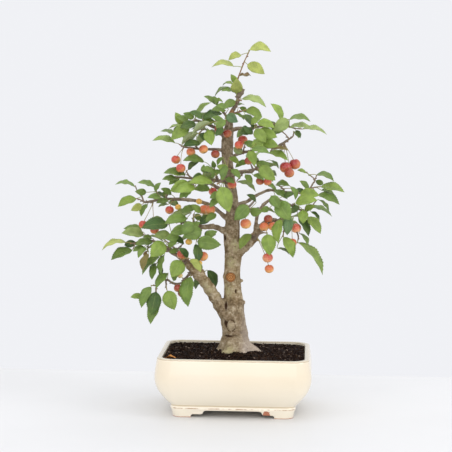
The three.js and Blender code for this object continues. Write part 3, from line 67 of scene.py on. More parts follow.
bl_info = {
    "name": "Crabapple Bonsai",
    "version": (1, 0, 0),
    "blender": (4, 5, 0),
    "location": "View3D > Sidebar > Bonsai",
    "description": "Builds a fruiting crabapple bonsai in its glazed pot, piece by piece",
    "category": "Add Mesh",
}

MM = 0.001
POT_LOW, POT_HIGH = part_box("pot")
CENTRE = Vector(((POT_LOW[0] + POT_HIGH[0]) / 2, (POT_LOW[1] + POT_HIGH[1]) / 2, 0.0))

# ---- sizes, in millimetres ----

# Outside of the pot as (height, half width): feet, moulding, groove, belly and rolled lip.
POT_OUTSIDE = [
    (0, 90), (10, 92), (12.2, 93.2), (14, 93.6), (15.6, 93.2), (17, 92.4), (18.6, 93.4), (21, 96), (25, 99.8),
    (30, 104), (36, 108.4), (42, 112), (49, 114.8), (57, 116.4), (64, 116.4), (70, 115.8), (78, 114.6),
    (86, 113.4), (88.6, 112.9), (89.7, 112.0), (90, 110.9),
]
POT_INSIDE = [
    (90, 107.6), (89.6, 106.2), (88.4, 105.5), (86, 105.2), (70, 106.3), (54, 107.2), (45, 105), (38, 101),
    (30, 95.6), (24, 91), (20.4, 87.5), (19, 84),
]
POT = {
    "depth_less": 17, "corner": 26, "corner_share": 0.45, "belly": 116.4, "floor_under": 11, "floor_top": 19,
    "foot_wall": 75,
}
FOOT_GAP = {
    "half": 44, "step_half": 62, "step_height": 5, "half_ends": 30, "step_half_ends": 44, "reach": 130,
}
DRAIN = {"radius": 8, "x": 46}
CHIP = {"centre": (50.5, -74.5, 6.2), "radius": 9.5}  # bare clay on a front foot
SOIL = {
    "edge": 86.2, "edge_half": 104.7, "mound": 6.5, "mound_radius": 62, "grain": 1.1, "bottom": 20.6,
    "bottom_half": 86.1, "wall_gap": 0.4, "grid": (150, 112),
}
CRUMB = {"least": 0.55, "more": 1.5, "forms": 6}
STRAW = {"length": (8, 22), "steps": 7, "reach": (96, 68)}
TRUNK_FOOT = {"x": 4, "half": (30, 24)}  # the ground that the trunk keeps clear of crumbs
EYE = {"x": -12.8, "distance": 2400, "height": 485.3}  # where the front elevation is seen from
TREE_TURN = math.radians(3)  # the tree and its front elevation stand turned in the pot
TREE_SHIFT = (-3.5, 0, 0)  # and off its middle
LEAF = {"width_to_length": 0.54, "fold": 0.26, "arch": 0.09, "rib_half": 0.6, "petiole_reach": 9}
APPLE = {"stalk": 0.65, "spur": 1.2, "spur_length": 1.6}
CLEARANCE = 0.3
LEAST_TWIG = 1.25  # radius that a thin twig counts with when leaves are placed
BLUNT = 3.0  # radius from which a twig ends in a cut
# How the leaves at the back are drawn at random.
BACK = {
    "seed": 7, "leaves": 6, "tries": 80, "length": (26, 38), "lift": (-0.5, 0.45), "petiole": (7, 13),
    "reach": 112,
}
KEEP = {"leaf": 3.1, "wood": 1.5, "own_twig": 0.8, "pitch": 2.5}  # clearances of a leaf
NUDGES = (0, -5, 5, -10, 10, -15, 15, -21, 21, -28, 28)  # shifts in depth, tried in turn
# The dry leaf, and how far from its middle the soil is clear of crumbs.
FALLEN = {"base": (-99.5, -64, 0), "tip": (-85, -68, 0.5), "width": 8, "arch": 0.05, "clear": 13}
FULL_TURN = 6.28  # in radians, for headings and waves

# Outline of a leaf from base to tip as (share of the length, share of the half width).
LEAF_OUTLINE = [
    (0, 0.03), (0.03, 0.26), (0.08, 0.5), (0.16, 0.76), (0.28, 0.94), (0.4, 1), (0.52, 0.97), (0.64, 0.86),
    (0.76, 0.66), (0.86, 0.42), (0.93, 0.21), (0.97, 0.09), (1, 0.02),
]

# ---- colours ----

# Tints of leaves, and the blush and ground colour of fruit.
FOLIAGE = {
    "y": "#a2aa56", "b": "#80983f", "m": "#6a8439", "d": "#3f5c25", "p": "#90a25b", "g": "#9ca879",
    "u": "#52734e", "r": "#7d5f37", "o": "#7b6a35",
}
FRUIT = {
    "r": ("#bc4534", "#dc935a"), "o": ("#d27046", "#e6ae68"), "n": ("#973c2a", "#c47c4c"),
    "k": ("#d26650", "#ecb284"), "s": ("#a23230", "#cb7a4a"), "y": ("#dca648", "#e8ca68"),
    "l": ("#d8b66c", "#e2cf96"),
}

# ---- the tree, in its front elevation ----

# The trunk as stations (x, height, depth, radius).
TRUNK = [
    (3, 66, 0, 22), (3, 80, 0, 25), (3, 92, 0, 25), (2, 101, 0, 21.5), (3, 111, 0, 18.6), (1.5, 122, 0, 18.2),
    (0, 133, 0, 18), (-1.5, 144, 0, 18), (-0.5, 155, 0, 16.4), (-0.5, 166, 0, 14.8), (-1, 178, 0, 13.2),
    (-2, 190, 0, 12.6), (-3, 203, 0, 12.9), (-2.5, 216, 0, 12), (-1.8, 230, 0, 12.7), (-1.5, 243, 0, 13.4),
    (-3.5, 256, 0, 12.2), (-4, 268, 0, 11.6), (-3, 282, 0, 10.9), (-3, 300, 1, 9.4), (-4, 320, 1, 8.8),
    (-7, 343, 2, 8.7), (-10.5, 365, 2, 8.4), (-12, 385, 1, 8.2), (-12, 405, 0, 9), (-11, 422, 0, 7.8),
    (-9, 437, 0, 5), (-7.5, 448, 0, 3.8), (-4.2, 456, 0, 3.4),
]

# The branches of the wood, each as far as its leafy end.
LIMBS = {
    "lowerLeft": [
        (-4, 136, 0, 10), (-19, 156, -2, 10.4), (-27, 169, -4, 9.4), (-37, 184, -8, 8.6),
        (-46, 197, -12, 8.8), (-56, 209, -16, 9.2), (-65, 217, -18, 7.6), (-74, 225, -18, 4.6),
        (-84, 233, -18, 3.6), (-96, 240, -18, 3.2), (-106, 249, -18, 2.6),
    ],
    "leftMiddle": [
        (-4, 268, 0, 6), (-15, 272, -2, 5), (-25, 277, -6, 4.3), (-36, 279, -12, 4), (-47, 278, -18, 3.8),
        (-60, 281, -22, 3.4), (-75, 285, -24, 2.6),
    ],
    "leftHigh": [
        (-2, 282, 1, 4.5), (-15, 294, 3, 3.6), (-28, 305, 6, 3.4), (-44, 314, 8, 3.1), (-60, 318, 8, 2.9),
        (-82, 320, 4, 2.8),
    ],
    "leftUpper": [(-8, 345, 0, 4), (-16, 347, -5, 3.2), (-22, 348, -8, 2.8)],
    "leftTwig": [(-12, 393, 0, 4), (-22, 395, -3, 2.8), (-30, 396, -6, 2.4)],
    "crownLeft": [(-11, 414, 0, 4), (-18, 420, -4, 3.3), (-24, 424, -6, 2.9)],
    "rightMiddle": [
        (-1, 236, 0, 9), (12, 245, -2, 8), (21, 253, -4, 7.4), (29, 262, -6, 6.8), (34, 271, -8, 5.6),
        (42, 281, -10, 4.6), (53, 289, -12, 3.8), (64, 290, -14, 3),
    ],
    "rightRiser": [
        (32, 268, -7, 3.6), (33, 288, -10, 2.8), (37, 303, -12, 2.6), (46, 315, -14, 2.4),
        (58, 322, -16, 2.4), (72, 318, -18, 2.4), (84, 313, -20, 2.2),
    ],
    "rightDark": [
        (-3, 303, 1, 4.2), (9, 314, 4, 3.3), (18, 317, 6, 2.9), (28, 324, 8, 2.5), (39, 330, 9, 2.4),
        (51, 335, 8, 2.3), (64, 334, 5, 2.2),
    ],
    "rightUpper": [(-9, 352, 0, 3.4), (2, 360, -8, 2.6), (10, 362, -12, 2.3)],
    "rightSpur": [(-10, 382, 0, 3.2), (1, 388, -6, 2.6), (8, 390, -9, 2.3)],
    "crownRight": [(-10, 423, 0, 3.4), (4, 428, -5, 2.9), (14, 428, -10, 2.5)],
    "backLow": [(-3, 276, 0, 4.5), (5, 290, 28, 3.6), (14, 303, 56, 2.8)],
    "backLeft": [(-4, 318, 1, 4), (-18, 333, 26, 3.2), (-32, 342, 48, 2.6)],
    "backRight": [(-9, 353, 2, 3.6), (6, 362, 24, 2.9), (20, 364, 42, 2.4)],
    "backTop": [(-12, 402, 0, 3), (-18, 414, 18, 2.4)],
    "backEast": [(24, 256, -5, 4), (34, 268, 22, 3.1), (50, 280, 42, 2.6)],
    "backWest": [(-56, 209, -16, 5), (-66, 222, 12, 3.1), (-80, 236, 32, 2.6)],
    "frontHigh": [(-8, 342, 0, 3.2), (-11, 346, -14, 2.6)],
    "frontRight": [(-3, 294, 0, 3.2), (2, 301, -14, 2.6)],
}

# Leafy shoots: a tint of FOLIAGE for each leaf, the twigs and the leaves. Twigs are stations (x, height,
# depth, radius). Leaves are (base x, height, depth, tip x, height, depth, width seen from the front), and
# some have 1 or -1 for the side that faces the front, and their own arch.
SPRAYS = {
    "leader": ("yyyyrbbymmpmm", [
        [(-4, 456, 0, 3.1), (2.2, 467, 0, 3), (3, 475, 0, 2.8), (1.5, 483, 0, 2), (2.5, 500, 0, 1.2),
         (5, 509, -1, 1.1), (12, 528, -1, 1), (19, 543, -2, 0.8)],
        [(3, 470, 0, 1.5), (7, 470, -2, 1.1)],
        [(0, 464, 0, 1.5), (-1, 467, -4, 1)],
        [(3.2, 474, 0, 3.6), (7, 481, 0, 4.6), (9.6, 488, 0, 4.4)],
    ], [
        (20, 546, -2, 52, 544, -8, 13, 1, 0.2), (7, 538, -3, -12, 530, -10, 10, 1, 0.22),
        (-4, 521, -3, -37, 520, 2, 8, 1, 0.14), (17, 524, 0, 43, 510, -8, 16, 1, 0.12),
        (6, 507, 0, 23, 507, 7, 5), (1, 496, -4, -8, 509, -9, 9), (-5, 494, -4, -20, 492, 6, 3, 1, 0.2),
        (1, 481, -6, 1, 503, -15, 17), (-2, 482, -4, -22, 484, -12, 6, 1, 0.12),
        (-9, 489, 7, -33, 473, 10, 3, 1, 0.16), (9, 472, -3, 46, 461, -9, 10, 1, 0.13),
        (2, 462, 4, 13, 464, 14, 3), (-1, 469, -5, -20, 459, -13, 12),
    ]),
    "top_right": ("bmdm", [
        [(-7, 450, 0, 2.2), (0, 451, -4, 1.6), (6, 453, -6, 1.4), (14, 455, -8, 1)],
    ], [
        (16, 456, -9, 40, 446, -18, 13, 1, 0.13), (-1, 450, -8, 13, 441, -14, 4),
        (14, 449, -12, 27, 428, -20, 10), (6, 459, 2, 18, 452, 8, 7),
    ]),
    "crown_top": ("mbmmdmm", [
        [(-9, 438, 0, 2.6), (-17, 450, 2, 1.9), (-26, 461, 2, 1.5), (-31, 470, 2, 0.9)],
        [(-18, 452, 2, 1.6), (-20, 457, -4, 1.2), (-24, 459, -10, 0.9)],
    ], [
        (-31, 464, -2, -48, 476, -5, 7), (-31, 471, 4, -19, 467, 9, 4), (-28, 462, -6, -34, 476, -12, 6),
        (-16, 454, -10, -37, 455, -18, 9, 1, 0.15), (-21, 450, -12, -51, 440, -22, 11),
        (-14, 459, -12, -29, 462, -20, 8), (-12, 458, 8, -26, 462, 16, 6),
    ]),
    "crown_left": ("bbmmdbdmbggbdmmumdmd", [
        [(-24, 424, -6, 2.7), (-34, 430, -10, 2.5), (-46, 435, -14, 2.3), (-60, 439, -16, 1.9),
         (-76, 433, -18, 1.3), (-80, 432, -19, 0.9)],
        [(-60, 439, -16, 1.6), (-66, 437, -22, 1.3), (-72, 431, -28, 1)],
        [(-45, 435, -15, 1.8), (-48, 428, -24, 1.4), (-54, 420, -30, 1)],
        [(-28, 427, -8, 1.8), (-20, 434, -17, 1.4), (-14, 440, -24, 1)],
    ], [
        (-61, 442, -12, -38, 467, -18, 7), (-80, 434, -18, -91, 451, -24, 12),
        (-63, 443, -18, -79, 450, -26, 10), (-71, 437, -24, -89, 444, -30, 9),
        (-60, 434, -24, -84, 428, -32, 12), (-70, 429, -30, -97, 410, -38, 17),
        (-80, 429, 0, -94, 420, 6, 11), (-89, 416, -16, -113, 423, -18, 5), (-78, 431, 4, -103, 425, 12, 3),
        (-38, 436, -28, -66, 417, -34, 10, -1), (-56, 420, -32, -82, 402, -38, 10, -1),
        (-41, 425, -32, -36, 402, -38, 16), (-39, 413, -18, -56, 419, -24, 11),
        (-32, 439, -22, -54, 431, -28, 11), (-36, 441, -10, -60, 447, -14, 8),
        (-13, 448, -26, 3, 437, -33, 14), (-18, 436, -24, -36, 444, -30, 8),
        (-20, 430, -22, -30, 416, -28, 10), (-16, 440, -30, -30, 428, -36, 11),
        (-50, 442, -18, -70, 452, -26, 9),
    ]),
    "left_twig": ("bmdm", [
        [(-29, 396, -6, 2.2), (-46, 396, -10, 2), (-62, 397, -12, 1.8), (-76, 399, -12, 1.4),
         (-83, 402, -12, 0.9)],
        [(-58, 397, -12, 1.5), (-60, 404, -16, 1)],
    ], [
        (-91, 405, -12, -125, 409, -16, 8, 1, 0.1), (-60, 416, -18, -77, 403, -24, 7),
        (-53, 404, -24, -79, 401, -30, 10), (-66, 408, -14, -82, 416, -18, 8),
    ]),
    "front_high": ("bmmbmmmmb", [
        [(-11, 346, -13, 2.4), (-14, 348, -30, 2.1), (-20, 348, -44, 1.8), (-26, 344, -58, 1.2)],
        [(-13, 347, -24, 1.7), (-12, 358, -28, 1.4), (-12, 368, -30, 1)],
    ], [
        (-21, 339, -60, -8, 301, -72, 23), (-24, 330, -44, -38, 322, -50, 10),
        (-14, 352, -40, 0, 345, -48, 8), (-12, 367, -32, -28, 371, -38, 10),
        (-20, 384, -20, -27, 372, -24, 6), (-13, 371, -36, -19, 349, -44, 11),
        (-22, 322, -44, -38, 308, -52, 10), (-6, 366, -32, 8, 352, -40, 9), (-8, 384, -22, 6, 374, -30, 8),
    ]),
    "left_upper": ("mmmdmmmbdmbbbmmmmm", [
        [(-22, 348, -8, 2.6), (-40, 350, -16, 2.4), (-60, 351, -20, 2.1), (-80, 353, -20, 1.6),
         (-92, 354, -18, 1)],
        [(-26, 349, -10, 1.8), (-29, 360, -18, 1.5), (-31, 366, -20, 1)],
        [(-64, 351, -20, 1.6), (-70, 356, -26, 1.3), (-73, 362, -30, 0.9)],
        [(-46, 350, -18, 1.8), (-48, 355, -28, 1.2)],
        [(-56, 351, -20, 1.8), (-60, 346, -32, 1.5), (-64, 341, -44, 1.1)],
        [(-40, 350, -17, 1.8), (-36, 345, -30, 1.4), (-32, 340, -38, 1)],
    ], [
        (-47, 377, -20, -79, 379, -26, 10, 1, 0.1), (-31, 368, -20, -34, 379, -24, 7),
        (-22, 364, -28, -36, 354, -36, 8), (-71, 365, -30, -54, 378, -36, 8),
        (-48, 361, -30, -47, 373, -36, 7), (-43, 360, -30, -39, 371, -38, 6),
        (-75, 357, -26, -108, 360, -32, 11), (-91, 352, -16, -102, 348, -18, 6),
        (-50, 357, -34, -64, 353, -40, 9), (-84, 352, -10, -100, 342, -14, 9),
        (-70, 345, -40, -98, 332, -50, 18), (-60, 338, -52, -92, 331, -62, 14),
        (-34, 346, -40, -70, 345, -48, 12), (-38, 336, -42, -62, 335, -50, 11),
        (-32, 352, -28, -52, 346, -34, 9), (-66, 336, -36, -84, 322, -44, 12),
        (-30, 360, -36, -52, 366, -44, 8), (-88, 350, -24, -110, 350, -30, 8),
    ]),
    "far_left_high": ("mmmmdmbymmmmmm", [
        [(-82, 320, 4, 2.6), (-105, 320, 0, 2.4), (-119, 318, -3, 2.2), (-128, 316, -4, 2),
         (-137, 315, -6, 1.6), (-141, 325, -6, 1.1), (-148, 333, -4, 0.9), (-150, 338, -4, 0.8)],
        [(-136, 315, -6, 1.4), (-144, 319, -6, 1), (-148, 320, -6, 0.8)],
        [(-112, 319, -2, 1.7), (-115, 326, -6, 1.2), (-119, 332, -8, 0.9)],
        [(-104, 320, 0, 1.7), (-103, 327, 4, 1.1)],
    ], [
        (-151, 338, -4, -181, 342, -8, 5, 1, 0.12), (-121, 338, -10, -147, 345, -14, 7),
        (-134, 330, -12, -151, 331, -18, 10), (-121, 332, -8, -112, 345, -10, 7),
        (-108, 326, 4, -122, 327, 8, 6), (-100, 330, 8, -111, 324, 14, 9),
        (-149, 320, -6, -177, 308, -12, 12), (-141, 311, -10, -157, 302, -18, 11),
        (-132, 312, -8, -142, 293, -14, 8), (-101, 318, -12, -119, 314, -20, 8),
        (-101, 312, -6, -116, 308, -8, 4), (-96, 327, -6, -112, 336, -10, 8),
        (-100, 316, -4, -84, 308, -14, 8), (-112, 322, -10, -132, 322, -18, 8),
    ]),
    "left_middle_outer": ("dmpmmpmd", [
        [(-75, 285, -24, 2.4), (-84, 286, -26, 2), (-96, 284, -28, 1.5), (-104, 284, -28, 0.9)],
        [(-79, 285, -24, 1.8), (-82, 278, -34, 1.5), (-86, 270, -40, 1)],
    ], [
        (-101, 281, -30, -141, 276, -40, 17), (-107, 286, -26, -127, 289, -32, 8),
        (-97, 265, -24, -122, 265, -30, 13), (-72, 291, -32, -106, 283, -42, 14),
        (-74, 277, -42, -97, 268, -50, 15), (-66, 300, -26, -99, 288, -32, 10),
        (-84, 266, -46, -104, 259, -52, 13), (-92, 262, -38, -76, 252, -44, 9),
    ]),
    "left_middle_front": ("mmddmm", [
        [(-50, 279, -19, 2.6), (-54, 270, -34, 1.8), (-54, 262, -44, 1.2)],
    ], [
        (-50, 273, -46, -78, 263, -56, 20), (-56, 256, -52, -20, 251, -62, 20),
        (-38, 273, -30, -42, 256, -38, 11), (-58, 252, -48, -56, 222, -58, 13),
        (-66, 274, -34, -52, 286, -40, 10), (-44, 262, -46, -26, 272, -52, 11),
    ]),
    "left_middle_rise": ("mmdmmb", [
        [(-60, 281, -22, 2.6), (-62, 288, -34, 1.6), (-62, 296, -38, 1.1)],
    ], [
        (-60, 307, -24, -82, 300, -30, 10), (-64, 285, -42, -80, 266, -50, 16),
        (-38, 296, -26, -53, 282, -32, 13), (-60, 297, -14, -48, 288, -18, 9),
        (-28, 298, -28, -44, 286, -36, 10), (-52, 300, -34, -66, 312, -40, 9),
    ]),
    "far_left_middle": ("pmmydmmmmro", [
        [(-106, 249, -18, 2.4), (-124, 256, -14, 2.1), (-138, 254, -12, 1.6), (-148, 253, -12, 1.2),
         (-156, 252, -12, 1)],
        [(-126, 256, -14, 1.5), (-132, 262, -12, 1.1), (-137, 265, -12, 0.9)],
        [(-128, 256, -14, 1.5), (-131, 248, -20, 1.1), (-131, 241, -24, 0.8)],
        [(-150, 253, -12, 1.1), (-153, 245, -14, 0.8)],
    ], [
        (-137, 265, -12, -171, 268, -18, 13), (-140, 270, -2, -168, 275, 2, 10),
        (-125, 260, -12, -139, 262, -18, 6), (-164, 253, -12, -201, 242, -16, 6, 1, 0.13),
        (-150, 254, -6, -167, 249, -4, 11), (-124, 254, -18, -151, 250, -24, 10),
        (-155, 242, -14, -187, 227, -22, 13), (-137, 247, -18, -154, 240, -24, 8),
        (-134, 246, -22, -146, 230, -28, 8), (-132, 241, -26, -134, 221, -30, 7),
        (-130, 236, -30, -139, 210, -36, 10),
    ]),
    "low_left_upper": ("bmdmmdmm", [
        [(-101, 244, -18, 2.4), (-108, 240, -28, 1.5), (-111, 232, -32, 1.1), (-115, 222, -30, 0.8)],
        [(-104, 242, -22, 1.6), (-96, 244, -24, 1.2), (-89, 243, -24, 0.9)],
    ], [
        (-107, 254, -38, -127, 232, -50, 22), (-113, 232, -34, -140, 205, -40, 9),
        (-118, 222, -22, -128, 209, -26, 5), (-119, 219, -30, -125, 197, -36, 10),
        (-106, 235, -38, -111, 205, -46, 9), (-113, 218, -26, -112, 202, -30, 7),
        (-86, 243, -24, -99, 239, -30, 8), (-100, 248, -28, -86, 256, -32, 8),
    ]),
    "low_left_lower": ("bmdmbmmm", [
        [(-62, 213, -18, 2.6), (-72, 201, -26, 2), (-77, 194, -32, 1.8), (-84, 191, -36, 1.8),
         (-93, 192, -38, 1.7), (-101, 197, -38, 1.6), (-110, 196, -38, 1.5), (-118, 186, -38, 1.3),
         (-118, 179, -40, 1.1), (-116, 172, -40, 0.8)],
        [(-104, 197, -38, 1.4), (-103, 188, -46, 1), (-102, 183, -48, 0.8)],
        [(-117, 187, -38, 1.1), (-124, 188, -40, 0.8)],
        [(-69, 205, -24, 1.6), (-65, 204, -36, 1.1)],
    ], [
        (-139, 171, -38, -157, 170, -42, 8), (-126, 186, -42, -141, 154, -50, 14),
        (-118, 178, -46, -125, 143, -54, 21), (-113, 163, -40, -127, 129, -48, 15),
        (-101, 180, -52, -90, 151, -60, 21), (-101, 207, -42, -119, 184, -50, 11),
        (-66, 202, -46, -70, 156, -56, 20), (-92, 196, -44, -84, 212, -50, 9),
    ]),
    "low_left_front": ("byd", [
        [(-73, 224, -18, 3), (-78, 226, -34, 1.6), (-81, 228, -46, 1)],
        [(-76, 225, -26, 1.6), (-70, 229, -34, 1)],
    ], [
        (-80, 226, -50, -95, 201, -62, 22), (-66, 229, -38, -50, 209, -46, 10),
        (-70, 232, -34, -84, 246, -40, 9),
    ]),
    "low_left_back": ("ddm", [
        [(-46, 198, -8, 3.4), (-46, 206, 8, 1.6), (-45, 210, 16, 1.1)],
    ], [
        (-50, 203, 12, -59, 183, 16, 9), (-40, 212, 16, -27, 186, 20, 13), (-48, 214, 24, -66, 224, 34, 10),
    ]),
    "crown_right": ("bmpppdmbbbdmmdbm", [
        [(14, 428, -10, 2.3), (22, 428, -14, 2.1), (40, 432, -18, 2), (58, 435, -18, 1.8),
         (74, 434, -16, 1.4), (88, 429, -16, 0.9), (99, 428, -12, 0.8)],
        [(66, 435, -17, 1.4), (68, 439, -14, 1)],
        [(22, 428, -14, 1.8), (26, 431, -26, 1.5), (31, 433, -32, 1)],
        [(42, 432, -18, 1.8), (40, 424, -32, 1.4), (36, 418, -44, 1)],
    ], [
        (70, 442, -10, 53, 466, -16, 11), (81, 442, -12, 113, 440, -16, 8, 1, 0.15),
        (79, 442, -22, 57, 424, -30, 18), (82, 430, -16, 116, 429, -18, 7), (101, 428, -6, 138, 421, -8, 6),
        (91, 426, -14, 98, 414, -18, 6), (62, 428, -22, 46, 438, -28, 10), (33, 437, -32, 59, 430, -40, 12),
        (36, 425, -42, 63, 415, -50, 16), (30, 427, -46, 46, 407, -54, 16), (20, 428, -36, 7, 420, -44, 14),
        (22, 438, -26, 10, 448, -32, 8), (48, 418, -26, 70, 424, -30, 8), (26, 420, -30, 12, 430, -34, 9),
        (24, 436, -30, 40, 446, -36, 9), (16, 426, -30, 2, 414, -38, 9),
    ]),
    "right_spur": ("bommpbmbbm", [
        [(8, 390, -9, 2.1), (14, 392, -12, 2), (28, 395, -16, 1.9), (45, 399, -18, 1.8), (60, 400, -18, 1.8),
         (70, 405, -18, 2.1), (79, 411, -18, 1.7), (87, 417, -18, 1.1), (88, 422, -16, 0.8)],
        [(14, 392, -12, 1.6), (18, 393, -24, 1.2), (20, 394, -32, 0.9)],
        [(11, 391, -11, 1.6), (13, 398, -18, 1.1), (15, 405, -22, 0.8)],
        [(44, 399, -18, 1.6), (38, 404, -34, 1.3), (33, 408, -48, 0.9)],
        [(57, 400, -18, 1.5), (54, 395, -24, 1)],
        [(71, 406, -18, 1.6), (73, 401, -22, 1), (78, 397, -22, 0.7)],
        [(82, 413, -18, 1.4), (76, 419, -20, 0.8), (71, 423, -20, 0.7)],
    ], [
        (51, 392, -28, 80, 381, -34, 10), (78, 396, -22, 56, 397, -26, 5), (88, 424, -14, 96, 414, -18, 5),
        (70, 424, -20, 58, 419, -26, 5), (11, 391, -22, -3, 399, -28, 12, -1),
        (21, 394, -38, 30, 372, -48, 13), (15, 408, -26, 31, 397, -32, 10), (40, 410, -38, 65, 402, -46, 15),
        (28, 411, -52, 42, 393, -60, 15), (24, 396, -42, 52, 391, -50, 9),
    ]),
    "right_upper": ("mbmmmbm", [
        [(10, 362, -12, 2.1), (18, 362, -16, 2), (25, 362, -20, 1.8), (33, 370, -26, 1.4),
         (37, 374, -36, 0.9)],
        [(12, 362, -13, 1.5), (8, 355, -13, 1.1), (4, 350, -12, 0.8)],
    ], [
        (32, 375, -36, 54, 371, -42, 12), (38, 371, -48, 61, 350, -58, 18), (54, 380, -24, 66, 368, -28, 4),
        (28, 358, -22, 44, 350, -28, 7), (19, 378, -22, 0, 369, -26, 8),
        (3, 347, -12, 32, 333, -16, 6, 1, 0.12), (16, 358, -22, 26, 344, -30, 9),
    ]),
    "far_right_high": ("mbmmbmbmdmmm", [
        [(64, 334, 5, 2), (84, 332, -2, 1.9), (101, 333, -6, 1.8), (113, 338, -8, 1.5), (118, 346, -8, 1.2),
         (121, 352, -8, 1), (111, 360, -6, 0.8), (107, 363, -5, 0.7)],
        [(113, 338, -8, 1.2), (120, 340, -10, 1), (128, 341, -12, 0.8)],
        [(120, 350, -8, 1), (123, 357, -8, 0.8)],
        [(97, 333, -5, 1.5), (98, 331, -20, 1.3), (99, 330, -30, 1)],
        [(76, 333, 0, 1.5), (72, 338, -14, 1.2), (68, 341, -20, 0.9)],
    ], [
        (111, 336, -14, 98, 350, -20, 8), (107, 362, -4, 94, 366, -8, 5),
        (123, 359, -8, 150, 350, -14, 8, 1, 0.16), (122, 350, -2, 134, 345, 4, 8),
        (130, 341, -14, 166, 334, -22, 11), (131, 336, -8, 151, 329, -8, 6),
        (99, 331, -34, 128, 328, -42, 14), (126, 329, -18, 159, 315, -26, 11),
        (93, 337, -10, 106, 331, -14, 6), (84, 341, -26, 92, 321, -34, 8, 1, 0.16),
        (62, 343, -22, 83, 342, -30, 8, 1, 0.18), (48, 345, -2, 63, 334, -6, 6),
    ]),
    "far_right_middle": ("bmmdbbddb", [
        [(84, 313, -20, 2), (94, 308, -20, 1.8), (102, 305, -20, 1.6), (110, 304, -18, 1.2),
         (122, 318, -14, 0.8)],
        [(88, 311, -20, 1.6), (90, 315, -34, 1.2)],
        [(104, 305, -20, 1.4), (110, 300, -26, 1)],
    ], [
        (92, 316, -42, 125, 321, -50, 14), (128, 321, -12, 143, 302, -16, 5),
        (112, 310, -12, 148, 297, -16, 5), (116, 303, -8, 129, 290, -10, 5),
        (111, 295, -30, 131, 270, -38, 14), (103, 305, -44, 104, 285, -52, 15),
        (97, 294, -36, 113, 266, -44, 12), (96, 312, -28, 84, 300, -36, 10),
        (106, 306, -30, 122, 312, -38, 9),
    ]),
    "right_middle_high": ("mmdmm", [
        [(62, 321, -17, 2.2), (64, 320, -32, 1.4), (65, 320, -42, 1)],
    ], [
        (66, 318, -50, 84, 290, -60, 24), (55, 326, -40, 68, 308, -48, 15), (74, 326, -30, 90, 330, -36, 8),
        (52, 308, -30, 38, 303, -38, 9), (60, 334, -24, 80, 322, -32, 9),
    ]),
    "right_trailing": ("mbbubm", [
        [(64, 290, -14, 2.6), (76, 285, -16, 2.2), (86, 279, -17, 1.9), (94, 273, -18, 1.5),
         (97, 265, -24, 1.1), (96, 257, -28, 0.8)],
        [(70, 288, -15, 1.8), (72, 291, -34, 1.4), (73, 293, -44, 1)],
        [(77, 284, -16, 1.6), (75, 274, -32, 1.2), (74, 266, -38, 0.9)],
    ], [
        (99, 270, -22, 110, 247, -26, 6, 1, 0.18), (97, 256, -30, 136, 208, -40, 11),
        (70, 291, -54, 66, 255, -64, 14), (82, 294, -46, 80, 267, -54, 15), (75, 264, -42, 90, 233, -50, 15),
        (66, 247, -30, 84, 238, -34, 3),
    ]),
    "right_front": ("mmd", [
        [(2, 301, -13, 2.4), (8, 307, -28, 2), (16, 311, -42, 1.3), (18, 312, -46, 1)],
        [(8, 307, -28, 1.6), (16, 304, -30, 1.2), (22, 302, -30, 0.9)],
    ], [
        (20, 311, -50, 0, 289, -60, 19), (24, 301, -32, 42, 303, -40, 13), (32, 318, -20, 18, 328, -26, 7),
    ]),
    "right_low": ("bb", [
        [(28, 261, -7, 5), (32, 265, -24, 1.8), (42, 270, -38, 1.2), (49, 270, -46, 0.9)],
        [(33, 265, -25, 1.4), (28, 268, -26, 1)],
    ], [
        (25, 268, -22, 8, 245, -30, 12), (50, 268, -50, 54, 236, -60, 21),
    ]),
}

